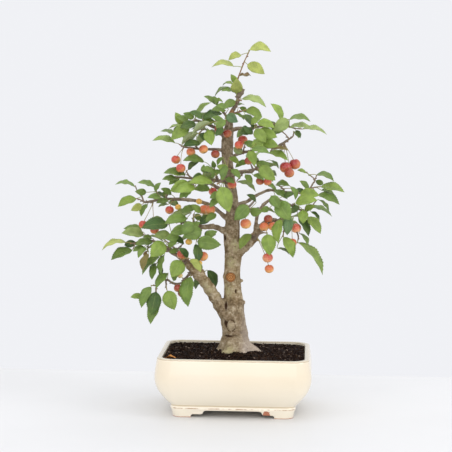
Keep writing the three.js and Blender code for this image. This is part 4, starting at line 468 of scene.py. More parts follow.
# Fruit: the point a bunch grows from, its apples (x, height, depth, diameter) and their tints in FRUIT.
BUNCHES = {
    "crown_left": ((-79, 398, -14), [(-89.5, 380, -18, 14), (-82, 367, -34, 14.5)], "rr"),
    "upper_left": ((-56, 398, -12), [(-67, 391.5, -20, 14), (-48, 396, -24, 14)], "oo"),
    "upper_trunk_left": ((-24, 398, -6), [(-30, 389, -16, 13.5)], "n"),
    "under_crown": ((-17, 431, -10), [(-25, 427, -22, 14), (-12, 420, -18, 13.5)], "nn"),
    "upper_front": ((3, 426, -8), [(11, 410.5, -18, 15), (5.5, 403, -30, 13.5)], "rr"),
    "upper_right_small": ((22, 393, -16), [(20, 379, -28, 12)], "n"),
    "right_cluster": ((74, 407, -18), [
        (90, 375, -22, 17.5), (76.5, 370, -28, 18.5), (82, 361.5, -38, 15),
    ], "ssn"),
    "right_inner_pair": ((34, 369, -24), [(38, 349, -20, 13), (49.5, 348, -28, 12.5)], "nr"),
    "front_single": ((-6, 357, -8), [(-4.5, 343, -30, 14)], "r"),
    "left_trio": ((-40, 313, 8), [
        (-54, 317, -14, 9.5), (-46, 304.5, -14, 15.5), (-37, 304.5, -27, 15.5),
    ], "yoo"),
    "centre_right": ((14, 312, -36), [(17, 284, -40, 16.5)], "o"),
    "left_pair": ((-96, 319, 0), [(-98.5, 303.5, -12, 13.5), (-85.5, 308, -10, 9.5)], "ry"),
    "far_left_pair": ((-124, 316, -4), [(-138.5, 281, -24, 13.5), (-121, 273, -22, 13.5)], "rr"),
    "right_trio": ((46, 284, -10), [
        (51, 291.5, -26, 13.5), (45, 279.5, -30, 14.5), (58, 280.5, -28, 14),
    ], "noo"),
    "right_hanging": ((43, 266, -20), [(51, 232.5, -40, 16), (53.5, 215.5, -36, 14)], "ko"),
    "right_outer": ((86, 279, -17), [(93.5, 278, -36, 15.5), (88, 256, -34, 13.5)], "ko"),
    "left_lower": ((-66, 221, -20), [
        (-79.5, 235.5, -34, 15), (-47, 233.5, -36, 15), (-52.5, 223, -48, 8.5),
    ], "roy"),
    "left_yellow": ((-66, 281, -22), [(-69, 255.5, -34, 10.5)], "y"),
    "low_pale": ((-76, 197, -30), [(-82, 204, -42, 8.5)], "l"),
    "low_pair": ((-88, 191, -37), [(-85, 184.5, -46, 12.5), (-79, 177, -40, 12.5)], "nn"),
    "back_low": ((10, 300, 52), [(0, 281, 62, 15), (-6, 266, 70, 14)], "or"),
    "back_left": ((-30, 342, 46), [(-33, 332, 36, 13.5), (-20, 328, 54, 13)], "ro"),
    "back_east": ((48, 280, 42), [(50, 252, 56, 15)], "o"),
}

# Twigs at the back of the crown, whose leaves are drawn at random.
BACK_TWIGS = {
    "back_low": [
        [(14, 303, 55, 2.6), (26, 314, 86, 1.8), (30, 320, 108, 1)],
        [(20, 308, 70, 1.7), (6, 314, 88, 1)],
        [(18, 306, 64, 1.7), (36, 306, 84, 1)],
    ],
    "back_left": [
        [(-32, 342, 47, 2.4), (-52, 350, 76, 1.7), (-60, 354, 96, 1)],
        [(-40, 345, 60, 1.6), (-26, 352, 80, 1)],
        [(-38, 344, 56, 1.6), (-62, 344, 62, 1)],
    ],
    "back_right": [
        [(20, 364, 41, 2.2), (34, 368, 60, 1.7), (42, 374, 78, 1)],
        [(28, 366, 50, 1.5), (22, 378, 66, 1)],
        [(30, 367, 52, 1.5), (50, 362, 54, 1)],
    ],
    "back_top": [
        [(-18, 414, 17, 2.2), (-24, 424, 36, 1.6), (-28, 432, 50, 1)],
        [(-21, 419, 26, 1.4), (-6, 426, 38, 1)],
        [(-20, 418, 24, 1.4), (-38, 422, 30, 1)],
    ],
    "back_east": [
        [(50, 280, 41, 2.4), (70, 292, 58, 1.7), (84, 298, 70, 1)],
        [(58, 285, 48, 1.6), (62, 290, 72, 1)],
        [(54, 283, 44, 1.6), (70, 280, 40, 1)],
    ],
    "back_west": [
        [(-80, 236, 31, 2.4), (-96, 250, 50, 1.7), (-106, 258, 62, 1)],
        [(-88, 243, 40, 1.6), (-78, 252, 58, 1)],
        [(-86, 241, 38, 1.6), (-102, 240, 34, 1)],
    ],
}

SCAR = {"centre": (-5, -13, 203.5), "radius": 8.2, "depth": 6}  # the pruning scar
HEALED = {"centre": (-4, 130), "half": (6.4, 8.2), "reach": 20}  # the healed oval wound low on the trunk
CUT = {"tawny": 432, "face": 452}  # heights at the cut top: where it turns tawny, and its face
ROOT_KNOB = {"centre": (-9, -30, 91.5), "half": (9, 6, 4.2)}
# Burrs and knobs on the trunk: x, y, z, reach, height.
KNOTS = [
    (13, -7, 163, 5, 3.8), (10, -5, 196, 3, 2.2), (-16, -4, 203, 4, 2.2), (-4, -17, 126, 7, 1.8),
    (12, -4, 240, 7, 1.6), (-19, -6, 270, 5, 2.4), (-17, 4, 130, 6, 1.6), (6, 14, 150, 8, 2.6),
    (-9, 12, 182, 7, 2), (4, 12, 222, 8, 1.8), (-9, -23, 98, 8, 3.5), (-14, 3, 112, 6, 1.8),
    (12, 10, 118, 9, 2.4),
]
# Surface roots: direction in degrees, reach, width in degrees.
ROOTS = [(-8, 22, 20), (-62, 12, 18), (-118, 9, 16), (176, 8, 20), (128, 16, 18), (62, 14, 20)]

# ---- small maths ----

FRONT = np.array((0.0, -1.0, 0.0))
UP = np.array((0.0, 0.0, 1.0))


def at(x, z, depth):
    """A point of the front elevation at a depth behind (+) or before (-) the middle of the pot."""
    k = (EYE["distance"] + depth) / EYE["distance"]
    return np.array((EYE["x"] + (x - EYE["x"]) * k, depth, EYE["height"] + (z - EYE["height"]) * k))


def metres(points):
    """Points about the pot's middle in millimetres, as points of the frame."""
    return np.asarray(points, float) * MM + np.array(CENTRE)


TURN = np.array(Matrix.Rotation(TREE_TURN, 3, "Z"))


def grown(points):
    """Points of the turned tree, in metres of the frame."""
    return metres(np.asarray(points, float) @ TURN.T + TREE_SHIFT)


def in_tree(mesh):
    """The points of a mesh in the tree's own axes, in millimetres."""
    return ((positions(mesh) - np.array(CENTRE)) / MM - TREE_SHIFT) @ TURN


def unit(v):
    """A vector of length 1."""
    return v / np.linalg.norm(v)


def repeatable(seed):
    """Numbers from 0 to 1, the same in every run."""
    state = seed
    while True:
        state = (state * 16807) % 2147483647
        yield state / 2147483647


def ripple(x, y, scale):
    """Uneven waves between -1 and 1."""
    u, v = x / scale, y / scale
    waves = np.sin(u * 1.7 + 0.6 * np.sin(v * 1.3)) + np.sin(v * 2.1 + u * 0.9) + np.sin(u * 3.1 - v * 2.7)
    return waves / 3


def smooth_step(value, low, high):
    """0 up to one value and 1 from another, with a smooth rise between."""
    t = np.clip((value - low) / (high - low), 0, 1)
    return t * t * (3 - 2 * t)


def smooth_path(points, radii, per_span, tightness=0.5):
    """A smooth line through stations, with its radii between them."""
    points = np.asarray(points, float)
    before = np.vstack((2 * points[0] - points[1], points[:-1]))
    after = np.vstack((points[1:], 2 * points[-1] - points[-2]))
    slopes = tightness * (after - before)
    out, widths = [], []
    for k in range(len(points) - 1):
        for t in np.arange(per_span) / per_span:
            a, b = points[k], points[k + 1]
            c2 = 3 * (b - a) - 2 * slopes[k] - slopes[k + 1]
            c3 = 2 * (a - b) + slopes[k] + slopes[k + 1]
            out.append(a + slopes[k] * t + c2 * t * t + c3 * t ** 3)
            widths.append(radii[k] + (radii[k + 1] - radii[k]) * t)
    out.append(points[-1])
    widths.append(radii[-1])
    return np.array(out), np.array(widths)


# ---- the layout of the tree: the same rule as the CAD solids, in millimetres ----


def stations_of(rows):
    """The places and the radii of a row of stations."""
    return np.array([at(*row[:3]) for row in rows]), np.array([row[3] for row in rows], float)


class Balls:
    """Spheres that stand for wood and fruit when leaves are placed clear of them."""

    def __init__(self):
        self.points, self.radii, self.owners = [], [], []

    def along(self, points, radii, owner):
        for a, b, ra, rb in zip(points, points[1:], radii, radii[1:]):
            count = math.ceil(np.linalg.norm(b - a) / KEEP["pitch"])
            for i in range(count):
                self.add(a + (b - a) * (i / count), ra + (rb - ra) * (i / count), owner)

    def add(self, point, radius, owner):
        self.points.append(point)
        self.radii.append(radius)
        self.owners.append(owner)

    def extend(self, other):
        self.points += other.points
        self.radii += other.radii
        self.owners += other.owners

    def nearest(self, point):
        return int(np.argmin(((np.array(self.points) - point) ** 2).sum(axis=1)))


def seat_twigs(twigs, wood, owner):
    """The twigs of a shoot, each begun on the axis of what it grows from, and the seats for its leaves."""
    own, seated = Balls(), []
    for rows in twigs:
        points, radii = stations_of(rows)
        host = own if own.points else wood
        points[0] = host.points[host.nearest(points[0])]
        seated.append((points, radii))
        own.along(points, np.maximum(radii, LEAST_TWIG), owner)
    wood_points, keep = np.array(wood.points), np.array(wood.radii) + KEEP["wood"]
    seats = [p for p in own.points if (np.linalg.norm(wood_points - p, axis=1) > keep).all()]
    return {"seated": seated, "own": own, "seats": np.array(seats)}


def new_blade(base, axis, length, width, normal, arch=LEAF["arch"]):
    """A blade from its base, direction and sizes, and the direction that its face looks in."""
    return {
        "base": base, "axis": axis, "length": length, "width": width, "normal": normal,
        "across": np.cross(normal, axis), "arch": arch,
    }


def blade_of(row, shift):
    """The axes and sizes of a blade from a row of the tables, shifted in depth."""
    x0, z0, depth0, x1, z1, depth1, seen = row[:7]
    side = row[7] if len(row) > 7 else 1
    arch = row[8] if len(row) > 8 else LEAF["arch"]
    base, tip = at(x0, z0, depth0 + shift), at(x1, z1, depth1 + shift)
    length = np.linalg.norm(tip - base)
    axis = (tip - base) / length
    width = max(seen, LEAF["width_to_length"] * length)
    turn = math.asin(min(seen / width, 1))
    to_front = unit(FRONT - axis * FRONT.dot(axis))
    upright = np.cross(axis, to_front)
    if upright[2] < 0:
        upright = -upright
    normal = unit(upright * math.cos(turn) + to_front * side * math.sin(turn))
    return new_blade(base, axis, length, width, normal, arch)


def on_blade(blade, t, s, height=0.0):
    """Points of a blade: t along the midrib, s across it from -1 to 1, height above it."""
    t, s = np.atleast_1d(t).astype(float), np.atleast_1d(s).astype(float)
    rise = blade["arch"] * blade["length"] * 4 * t * (1 - t) + LEAF["fold"] * np.abs(s) * blade["width"] / 2
    return (
        blade["base"] + np.outer(t * blade["length"], blade["axis"])
        + np.outer(rise + height, blade["normal"]) + np.outer(s * blade["width"] / 2, blade["across"])
    )


SAMPLES = np.array([
    (t, s * 3.8 * t * (1 - t)) for t in (0.06, 0.2, 0.35, 0.5, 0.65, 0.8, 0.93) for s in (-1, -0.5, 0, 0.5, 1)
])


def crowding(leaf, placed, balls):
    """Counts the points of a leaf that come too near to what is already placed."""
    blade, root = leaf["blade"], leaf["root"]
    samples = on_blade(blade, SAMPLES[:, 0], SAMPLES[:, 1])
    stalk = np.array([root + (blade["base"] - root) * k for k in (0.4, 0.7)])
    every = np.vstack((samples, stalk))
    middle = on_blade(blade, 0.5, 0)[0]
    reach = blade["length"] * 0.62 + 4
    count = 0
    for other in placed:
        if np.linalg.norm(middle - other["middle"]) > reach + other["reach"] + KEEP["leaf"]:
            continue
        gaps = ((every[:, None] - other["samples"][None]) ** 2).sum(axis=2)
        count += int((gaps < KEEP["leaf"] ** 2).any(axis=1).sum())
    far = np.linalg.norm(balls["points"] - middle, axis=1) > reach + balls["radii"] + KEEP["wood"]
    near = np.flatnonzero(~far)
    own = balls["owners"][near] == leaf["spray"]
    limit = (balls["radii"][near] + np.where(own, KEEP["own_twig"], KEEP["wood"])) ** 2
    gaps = ((every[:, None] - balls["points"][near][None]) ** 2).sum(axis=2) < limit
    count += int(gaps[: len(samples)].sum()) + int(gaps[len(samples):, ~own].sum())
    return {"count": count, "samples": every, "middle": middle, "reach": reach}


def outline_of(row):
    """A leaf in the front elevation: its middle, its direction, and half its length and width."""
    x0, z0, _, x1, z1, _, seen = row[:7]
    length = max(math.hypot(x1 - x0, z1 - z0), 6)
    heading = (x1 - x0) / length, (z1 - z0) / length
    return ((x0 + x1) / 2, (z0 + z1) / 2, *heading, length * 0.56, max(seen * 0.56, 2.5))


def place_leaf(row, spray, seats, placed, balls):
    """A leaf of the tables, shifted in depth by the smallest step that clears it."""
    best = None
    for shift in NUDGES:
        blade = blade_of(row, shift)
        aim = blade["base"] - blade["axis"] * LEAF["petiole_reach"]
        root = seats[np.argmin(((seats - aim) ** 2).sum(axis=1))]
        leaf = {"spray": spray, "blade": blade, "root": root, "outline": outline_of(row)}
        leaf.update(crowding(leaf, placed, balls))
        if best is None or leaf["count"] < best["count"]:
            best = leaf
        if best["count"] == 0:
            break
    return best


def hidden(point, front):
    """Whether a point, seen from the eye, is hidden behind a leaf in front of it."""
    k = EYE["distance"] / (EYE["distance"] + point[1])
    x = EYE["x"] + (point[0] - EYE["x"]) * k
    z = EYE["height"] + (point[2] - EYE["height"]) * k
    dx, dz = x - front["outline"][:, 0], z - front["outline"][:, 1]
    ux, uz, half, wide = front["outline"][:, 2:].T
    along, across = dx * ux + dz * uz, -dx * uz + dz * ux
    return bool(((front["depth"] <= point[1]) & ((along / half) ** 2 + (across / wide) ** 2 < 1)).any())


def random_blade(root, draw):
    """A blade near its root, turned at random but mostly outwards."""
    def between(limits):
        return limits[0] + (limits[1] - limits[0]) * next(draw)

    heading = next(draw) * 2 * math.pi
    axis = unit(np.array((math.cos(heading), 0.9 * math.sin(heading) + 0.25, between(BACK["lift"]))))
    length = between(BACK["length"])
    base = root + axis * between(BACK["petiole"])
    normal = np.array((0, 0.7 * next(draw), 1))
    normal = unit(normal - axis * normal.dot(axis))
    return new_blade(base, axis, length, length * LEAF["width_to_length"], normal)


def bunch_of(spur, apples, balls):
    """A short spur on the nearest wood, and apples with stalks from its end."""
    seat = balls.nearest(at(*spur))
    seat, seat_radius = balls.points[seat], balls.radii[seat]
    centres = [at(*apple[:3]) for apple in apples]
    out = unit(sum(unit(centre - seat) for centre in centres))
    hub = seat + out * (seat_radius + CLEARANCE + APPLE["spur_length"])
    hung = []
    for centre, apple in zip(centres, apples):
        axis = unit(unit(hub - centre) * 0.5 + UP)
        stalk = (hub, centre + axis * apple[3] * 0.24)
        hung.append({"centre": centre, "axis": axis, "diameter": apple[3], "stalk": stalk})
    return {"spur": (seat, hub + out * APPLE["stalk"]), "apples": hung}


def lay_out():
    """Seats every twig, leaf and apple of the tree."""
    wood = Balls()
    for rows in [TRUNK, *LIMBS.values()]:
        wood.along(*stations_of(rows), "wood")
    sprays = {name: seat_twigs(twigs, wood, name) for name, (_, twigs, _) in SPRAYS.items()}
    backs = {name: seat_twigs(twigs, wood, name) for name, twigs in BACK_TWIGS.items()}
    balls = Balls()
    balls.extend(wood)
    for spray in [*sprays.values(), *backs.values()]:
        balls.extend(spray["own"])
    bunches = {name: bunch_of(spur, apples, balls) for name, (spur, apples, _) in BUNCHES.items()}
    for name, bunch in bunches.items():
        owner = f"apples_{name}"
        balls.along(bunch["spur"], (APPLE["spur"],) * 2, owner)
        for apple in bunch["apples"]:
            balls.add(apple["centre"], apple["diameter"] / 2, owner)
            balls.along(apple["stalk"], (APPLE["stalk"],) * 2, owner)
    solid = {key: np.array(getattr(balls, key)) for key in ("points", "radii", "owners")}
    placed = []
    for name, (tints, _, leaves) in SPRAYS.items():
        for row, tint in zip(leaves, tints):
            placed.append({**place_leaf(row, name, sprays[name]["seats"], placed, solid), "tint": tint})
    front = {
        "outline": np.array([leaf["outline"] for leaf in placed]),
        "depth": np.array([leaf["middle"][1] for leaf in placed]),
    }
    draw = repeatable(BACK["seed"])
    for name, spray in backs.items():
        seats = spray["seats"]
        for k in range(BACK["leaves"]):
            for _ in range(BACK["tries"]):
                root = seats[int((0.2 + 0.8 * next(draw)) * (len(seats) - 1))]
                blade = random_blade(root, draw)
                tip = blade["base"] + blade["axis"] * blade["length"]
                corners = [blade["base"], *on_blade(blade, (0.5, 0.5), (0.8, -0.8)), tip]
                if not all(p[1] < BACK["reach"] and hidden(p, front) for p in corners):
                    continue
                leaf = {"spray": name, "blade": blade, "root": root, "tint": "mbdm"[k % 4]}
                leaf.update(crowding(leaf, placed, solid))
                if leaf["count"] == 0:
                    placed.append(leaf)
                    break
    return {"sprays": {**sprays, **backs}, "bunches": bunches, "leaves": placed}


LAYOUT = lay_out()

# ---- finishes ----


def linear(text):
    """A colour written as #rrggbb, as the linear values that shaders use."""
    values = [int(text[i:i + 2], 16) / 255 for i in (1, 3, 5)]
    return tuple(v / 12.92 if v <= 0.04045 else ((v + 0.055) / 1.055) ** 2.4 for v in values)


def as_colour(value):
    """A socket as it is, and a text or three values with their alpha."""
    if isinstance(value, bpy.types.NodeSocket):
        return value
    return (*(linear(value) if isinstance(value, str) else value), 1.0)


class Finish:
    """A procedural material while it is put together."""

    def __init__(self, name, constants=None):
        self.material = bpy.data.materials.new(name)
        self.material.use_nodes = True
        self.tree = self.material.node_tree
        self.tree.nodes.clear()
        self.shader = self.add("ShaderNodeBsdfPrincipled", constants)
        self.add("ShaderNodeOutputMaterial", {"Surface": self.shader.outputs[0]})
        self.object = self.add("ShaderNodeTexCoord").outputs["Object"]

    def add(self, kind, inputs=None, **settings):
        node = self.tree.nodes.new(kind)
        for key, value in settings.items():
            setattr(node, key, value)
        for key, value in (inputs or {}).items():
            if isinstance(value, bpy.types.NodeSocket):
                self.tree.links.new(value, node.inputs[key])
            else:
                node.inputs[key].default_value = value
        return node

    def stretched(self, scale):
        return self.add("ShaderNodeMapping", {"Vector": self.object, "Scale": scale}).outputs[0]

    def noise(self, scale, detail=4.0, roughness=0.55, source=None):
        inputs = {"Vector": source or self.object, "Scale": scale, "Detail": detail, "Roughness": roughness}
        return self.add("ShaderNodeTexNoise", inputs).outputs[0]

    def cells(self, scale, output="Distance", feature="F1"):
        inputs = {"Vector": self.object, "Scale": scale}
        return self.add("ShaderNodeTexVoronoi", inputs, feature=feature).outputs[output]

    def attribute(self, name, output="Fac"):
        return self.add("ShaderNodeAttribute", attribute_name=name).outputs[output]

    def parts_of(self, source=None):
        return self.add("ShaderNodeSeparateXYZ", {0: source or self.object}).outputs

    def math(self, operation, a, b=0.0):
        return self.add("ShaderNodeMath", {0: a, 1: b}, operation=operation).outputs[0]

    def plus(self, a, b):
        return self.math("ADD", a, b)

    def minus(self, a, b):
        return self.math("SUBTRACT", a, b)

    def times(self, a, b):
        return self.math("MULTIPLY", a, b)

    def band(self, value, low, high, to_low=0.0, to_high=1.0):
        inputs = {0: value, 1: low, 2: high, 3: to_low, 4: to_high}
        return self.add("ShaderNodeMapRange", inputs, interpolation_type="SMOOTHSTEP").outputs[0]

    def strip(self, value, start, full, fading, end):
        """1 inside a strip of values, falling to 0 on both sides."""
        return self.times(self.band(value, start, full), self.band(value, end, fading))

    def varied(self, scale, detail, low, high):
        """A value that wanders between two others."""
        return self.band(self.noise(scale, detail), 0.3, 0.7, low, high)

    def near(self, point, radius, soft):
        """1 at a point of the frame, falling to 0 at the radius."""
        away = self.add("ShaderNodeVectorMath", {0: self.object, 1: tuple(point)}, operation="DISTANCE")
        return self.band(away.outputs["Value"], radius * soft, radius, 1.0, 0.0)

    def mix(self, factor, a, b, blend="MIX"):
        inputs = {0: factor, 6: as_colour(a), 7: as_colour(b)}
        return self.add("ShaderNodeMix", inputs, data_type="RGBA", blend_type=blend).outputs[2]

    def over(self, body, colour, amount, strength, blend="MIX"):
        """A colour laid over a body, by an amount and how strong it is at the most."""
        return self.mix(self.times(amount, strength), body, colour, blend)

    def ramp(self, value, *stops):
        """Colours at their places from 0 to 1."""
        node = self.add("ShaderNodeValToRGB", {0: value})
        band = node.color_ramp
        while len(band.elements) < len(stops):
            band.elements.new(0.5)
        for element, (position, colour) in zip(band.elements, stops):
            element.position = position
            element.color = as_colour(colour)
        return node.outputs[0]

    def on_leaf(self, rib_count, slant):
        """Distance from the midrib, and from the nearest side vein, on the piece's UV map."""
        place = self.parts_of(self.add("ShaderNodeUVMap", uv_map="UVMap").outputs[0])
        across = self.math("ABSOLUTE", self.minus(place[0], 0.5))
        veins = self.minus(self.times(place[1], rib_count), self.times(across, slant))
        return across, self.math("ABSOLUTE", self.minus(self.math("FRACT", veins), 0.5))

    def bump(self, height, distance, strength):
        inputs = {"Height": height, "Distance": distance, "Strength": strength}
        return self.add("ShaderNodeBump", inputs).outputs[0]

    def done(self, colour, roughness, normal):
        for key, value in (("Base Color", colour), ("Roughness", roughness), ("Normal", normal)):
            self.tree.links.new(value, self.shader.inputs[key])
        return self.material


def glaze_finish(settings):
    """Cream glaze over stoneware: thin and greenish along edges, bare red clay under the feet."""
    f = Finish("cream_glaze", {"IOR": 1.5, "Coat Weight": 0.5, "Coat Roughness": 0.15})
    body = f.mix(f.band(f.noise(9, 1), 0.35, 0.7), settings.glaze, settings.glaze_shade)
    z = f.parts_of()[2]
    ragged = f.plus(z, f.times(f.minus(f.noise(170, 3), 0.5), 0.0018))
    body = f.over(body, "#b9ae93", f.band(ragged, 0.0885, 0.0899), 0.6)  # the lip
    # painted shade: the inward-facing wall above the soil is greyed
    body = f.over(body, "#a39b84", f.attribute("inside"), 0.65)
    body = f.over(body, "#967f5c", f.strip(ragged, 0.0877, 0.0884, 0.0886, 0.0892), 0.7)  # the edge under it
    # painted light: the lower belly is paled towards the feet
    body = f.mix(f.band(z, 0.07, 0.025, 0.0, 0.8), body, "#fbf2df")
    body = f.over(body, "#c2a97c", f.strip(z, 0.0155, 0.0172, 0.0178, 0.0196), 0.6)  # the groove
    worn = f.times(f.strip(z, 0.0126, 0.0137, 0.0141, 0.0152), f.band(f.noise(90, 4), 0.38, 0.62))
    body = f.over(body, "#a98058", worn, 0.85)
    chip = f.plus(f.near(metres(CHIP["centre"]), CHIP["radius"] * MM, 0.1), f.noise(260, 3))
    clay = f.math("MAXIMUM", f.band(ragged, 0.0014, 0.0005), f.band(chip, 0.92, 1.0))
    body = f.mix(clay, body, f.mix(f.noise(400, 3), "#a8563f", "#c98a68"))
    return f.done(body, f.band(clay, 0.0, 1.0, 0.27, 0.8), f.bump(f.noise(7, 1), 0.0014, 0.4))


def soil_finish(settings):
    """Dark, damp, crumbly potting soil."""
    f = Finish("potting_soil", {"IOR": 1.35, "Specular IOR Level": 0.1})
    tone = f.add("ShaderNodeSeparateColor", {0: f.cells(420, "Color")}).outputs[0]
    body = f.ramp(tone, (0.0, "#0c0705"), (0.45, settings.dark), (0.8, settings.light), (1.0, "#46321f"))
    body = f.mix(f.band(f.attribute("pale"), 0.9, 0.96), body, "#917f72")
    body = f.mix(f.varied(30, 4, 0.0, 0.5), body, "#160f0d")
    height = f.plus(f.times(f.cells(420), -1.0), f.times(f.noise(1500, 4), 0.5))
    return f.done(body, f.varied(200, 3, 0.55, 0.95), f.bump(height, 0.0011, 0.9))


def bark_finish(settings):
    """Grey-brown mottled bark with cross wrinkles, lichen, painted shade in the clefts and hollows, a healed
    wound and the pruning scar.
    """
    f = Finish("crabapple_bark", {"IOR": 1.4, "Specular IOR Level": 0.3})
    x, _, z = f.parts_of()
    wrinkles = f.noise(1.0, 5, 0.62, f.stretched((130, 130, 520)))
    blotches, mottle = f.noise(70, 3, 0.6), f.noise(170, 6, 0.72)
    bark = f.ramp(mottle, (0.34, settings.shade), (0.46, settings.bark), (0.55, "#a5947a"), (0.66, "#cbbda5"))
    tanned = f.mix(0.85, bark, "#a58a62", "MULTIPLY")
    bark = f.mix(f.band(blotches, 0.46, 0.62, 0.0, 0.6), bark, tanned)
    bark = f.mix(f.band(blotches, 0.42, 0.3, 0.0, 0.5), bark, "#c2b49c")
    bark = f.mix(f.band(wrinkles, 0.55, 0.68, 0.0, 0.6), bark, "#665440")
    low = f.band(z, 0.2, 0.09)
    bark = f.over(bark, "#a5947e", low, 0.2)
    bark = f.over(bark, "#57492f", f.strip(z, 0.16, 0.18, 0.215, 0.236), 0.65, "SCREEN")
    bark = f.over(bark, "#857c6c", f.band(z, 0.24, 0.33), 0.3)
    edge = f.band(f.plus(x, f.times(blotches, 0.01)), CENTRE.x + 0.01, CENTRE.x + 0.022)
    bark = f.over(bark, "#c3b6ae", f.times(edge, low), 0.45)
    young = f.ramp(mottle, (0.32, "#66574a"), (0.5, "#91826f"), (0.68, "#b8ac98"))
    bark = f.over(bark, young, f.attribute("young"), 0.75)
    bark = f.over(bark, "#bdac8e", f.attribute("healed"), 0.6)
    bark = f.mix(f.times(f.attribute("lichen"), f.band(f.noise(230, 4), 0.36, 0.52)), bark, "#b3ab82")
    # painted shade: very dark brown in the clefts, the hollows of the relief and the sunk ring of the healed
    # wound
    bark = f.mix(f.band(f.attribute("cleft"), 0.2, 0.8), bark, "#3b2614")
    scar = f.attribute("scar")
    rings = f.math("SINE", f.plus(f.times(scar, 21.0), f.times(mottle, 7.0)))
    wound = f.mix(f.band(rings, -0.7, 0.7), "#7a4826", "#c9935a")
    bark = f.mix(f.band(scar, 0.02, 0.14), bark, f.mix(f.band(scar, 0.34, 0.08), wound, "#5e3a22"))
    bark = f.mix(f.attribute("tawny"), bark, f.mix(f.noise(260, 3), "#84583a", "#b5855a"))
    height = f.plus(f.times(wrinkles, 0.8), f.times(f.noise(700, 4), 0.5))
    height = f.plus(height, f.times(f.cells(240, "Distance", "SMOOTH_F1"), 0.6))
    return f.done(bark, f.varied(120, 3, 0.72, 0.95), f.bump(height, 0.0011, 0.9))


def leaf_finish(settings):
    """Leaf blades: a tint for each leaf, paler midrib and side veins, a matt pale underside."""
    f = Finish("crabapple_leaf", {"IOR": 1.42})
    tint, under = f.attribute("tint", "Color"), f.attribute("under")
    across, veins = f.on_leaf(9.0, 5.2)
    side, rib = f.band(veins, 0.13, 0.02), f.band(across, 0.03, 0.006)
    deeper = f.mix(0.5, tint, "#3c5c2c", "MULTIPLY")
    green = f.mix(f.band(f.noise(110, 4), 0.35, 0.65, 0.0, 0.6), tint, deeper)
    green = f.mix(f.band(f.noise(45, 2), 0.35, 0.75, 0.0, 0.4), green, f.mix(0.35, green, settings.sunlit))
    green = f.over(green, f.mix(0.4, green, "#b9c77e"), side, 0.14)
    green = f.over(green, f.mix(0.45, green, "#b3bd78"), rib, 0.4)
    green = f.over(green, "#b0b872", f.band(across, 0.44, 0.5), 0.14)
    spots = f.times(f.band(f.cells(190), 0.12, 0.06), f.band(f.noise(38, 2), 0.6, 0.7))
    green = f.over(green, "#6c5a34", spots, 0.7)
    body = f.mix(under, green, f.mix(0.42, green, settings.underside))
    rough = f.plus(f.times(under, 0.25), f.varied(90, 3, 0.4, 0.54))
    height = f.minus(f.plus(f.times(side, -0.6), f.times(f.noise(700, 3), 0.35)), rib)
    return f.done(body, rough, f.bump(height, 0.0002, 0.6))


def shoot_finish():
    """Petioles and young twigs, from green through tawny to grey-brown by their age."""
    f = Finish("young_shoot", {"IOR": 1.42})
    streaks = f.noise(420, 4)
    age = f.plus(f.attribute("age"), f.times(f.minus(streaks, 0.5), 0.22))
    body = f.ramp(
        age, (0.0, "#8fa552"), (0.3, "#978250"), (0.55, "#8d6b50"), (0.8, "#86745f"), (1.0, "#776857"),
    )
    body = f.mix(f.band(f.cells(900), 0.16, 0.1, 0.0, 0.35), body, "#b9a98a")
    return f.done(body, f.band(streaks, 0.3, 0.7, 0.5, 0.75), f.bump(streaks, 0.0003, 0.6))


def apple_finish():
    """Apple skin: a blush that streaks into its ground colour, fine dots and a light gloss."""
    f = Finish("crabapple_skin", {"IOR": 1.45, "Coat Weight": 0.35, "Coat Roughness": 0.16})
    amount = f.plus(f.attribute("sun"), f.times(f.minus(f.noise(300, 4, 0.6), 0.5), 0.55))
    skin = f.mix(f.band(amount, 0.3, 0.85), f.attribute("ground", "Color"), f.attribute("blush", "Color"))
    deeper = f.mix(0.4, skin, "#b0543a", "MULTIPLY")
    skin = f.mix(f.band(f.noise(120, 2), 0.5, 0.75, 0.0, 0.25), skin, deeper)
    skin = f.over(skin, "#f0d2a0", f.band(f.cells(950), 0.2, 0.12), 0.35)
    skin = f.over(skin, "#6d4326", f.band(f.attribute("end"), 0.55, 0.95), 0.65)
    return f.done(skin, f.varied(150, 3, 0.28, 0.42), f.bump(f.noise(500, 3), 0.00012, 0.4))


def calyx_finish():
    """The dry sepals at the foot of an apple."""
    f = Finish("dry_calyx")
    body = f.mix(f.noise(900, 3), "#2f1f16", "#6a4a30")
    return f.done(body, f.varied(300, 2, 0.7, 0.9), f.bump(f.noise(900, 3), 0.0003, 0.8))


def dry_leaf_finish():
    """A fallen leaf, orange-brown with darker veins and edges."""
    f = Finish("dry_leaf")
    across, veins = f.on_leaf(8.0, 5.0)
    body = f.ramp(f.noise(230, 4), (0.3, "#a85f22"), (0.5, "#d08a3c"), (0.7, "#e6ac5e"))
    body = f.over(body, "#7d4518", f.band(veins, 0.14, 0.02), 0.5)
    body = f.mix(f.band(across, 0.36, 0.5, 0.0, 0.7), body, "#6f3d17")
    return f.done(body, f.varied(300, 2, 0.6, 0.85), f.bump(f.noise(500, 4), 0.0004, 0.8))


def plastic_mesh_finish():
    """Black moulded plastic mesh, dusted with soil."""
    f = Finish("moulded_mesh", {"IOR": 1.46})
    body = f.mix(f.band(f.noise(170, 4), 0.45, 0.7, 0.0, 0.6), "#232323", "#4a3d32")
    return f.done(body, f.varied(300, 3, 0.5, 0.75), f.bump(f.noise(1200, 2), 0.0001, 0.5))


def floor_finish(settings):
    """A plain pale table top."""
    f = Finish("pale_table", {"Specular IOR Level": 0.2})
    body = f.mix(f.varied(2.2, 3, 0.0, 1.0), settings.floor, [c * 0.96 for c in settings.floor])
    return f.done(body, f.varied(5, 3, 0.5, 0.6), f.bump(f.noise(60, 2), 0.0002, 0.1))


# ---- meshes ----


def deselect():
    """Leaves edit mode and selects nothing."""
    if bpy.context.object and bpy.context.object.mode != "OBJECT":
        bpy.ops.object.mode_set(mode="OBJECT")
    bpy.ops.object.select_all(action="DESELECT")


def pick(*objects):
    """Makes these the only selected objects, the first of them active."""
    deselect()
    for item in objects:
        item.select_set(True)
    bpy.context.view_layer.objects.active = objects[0]


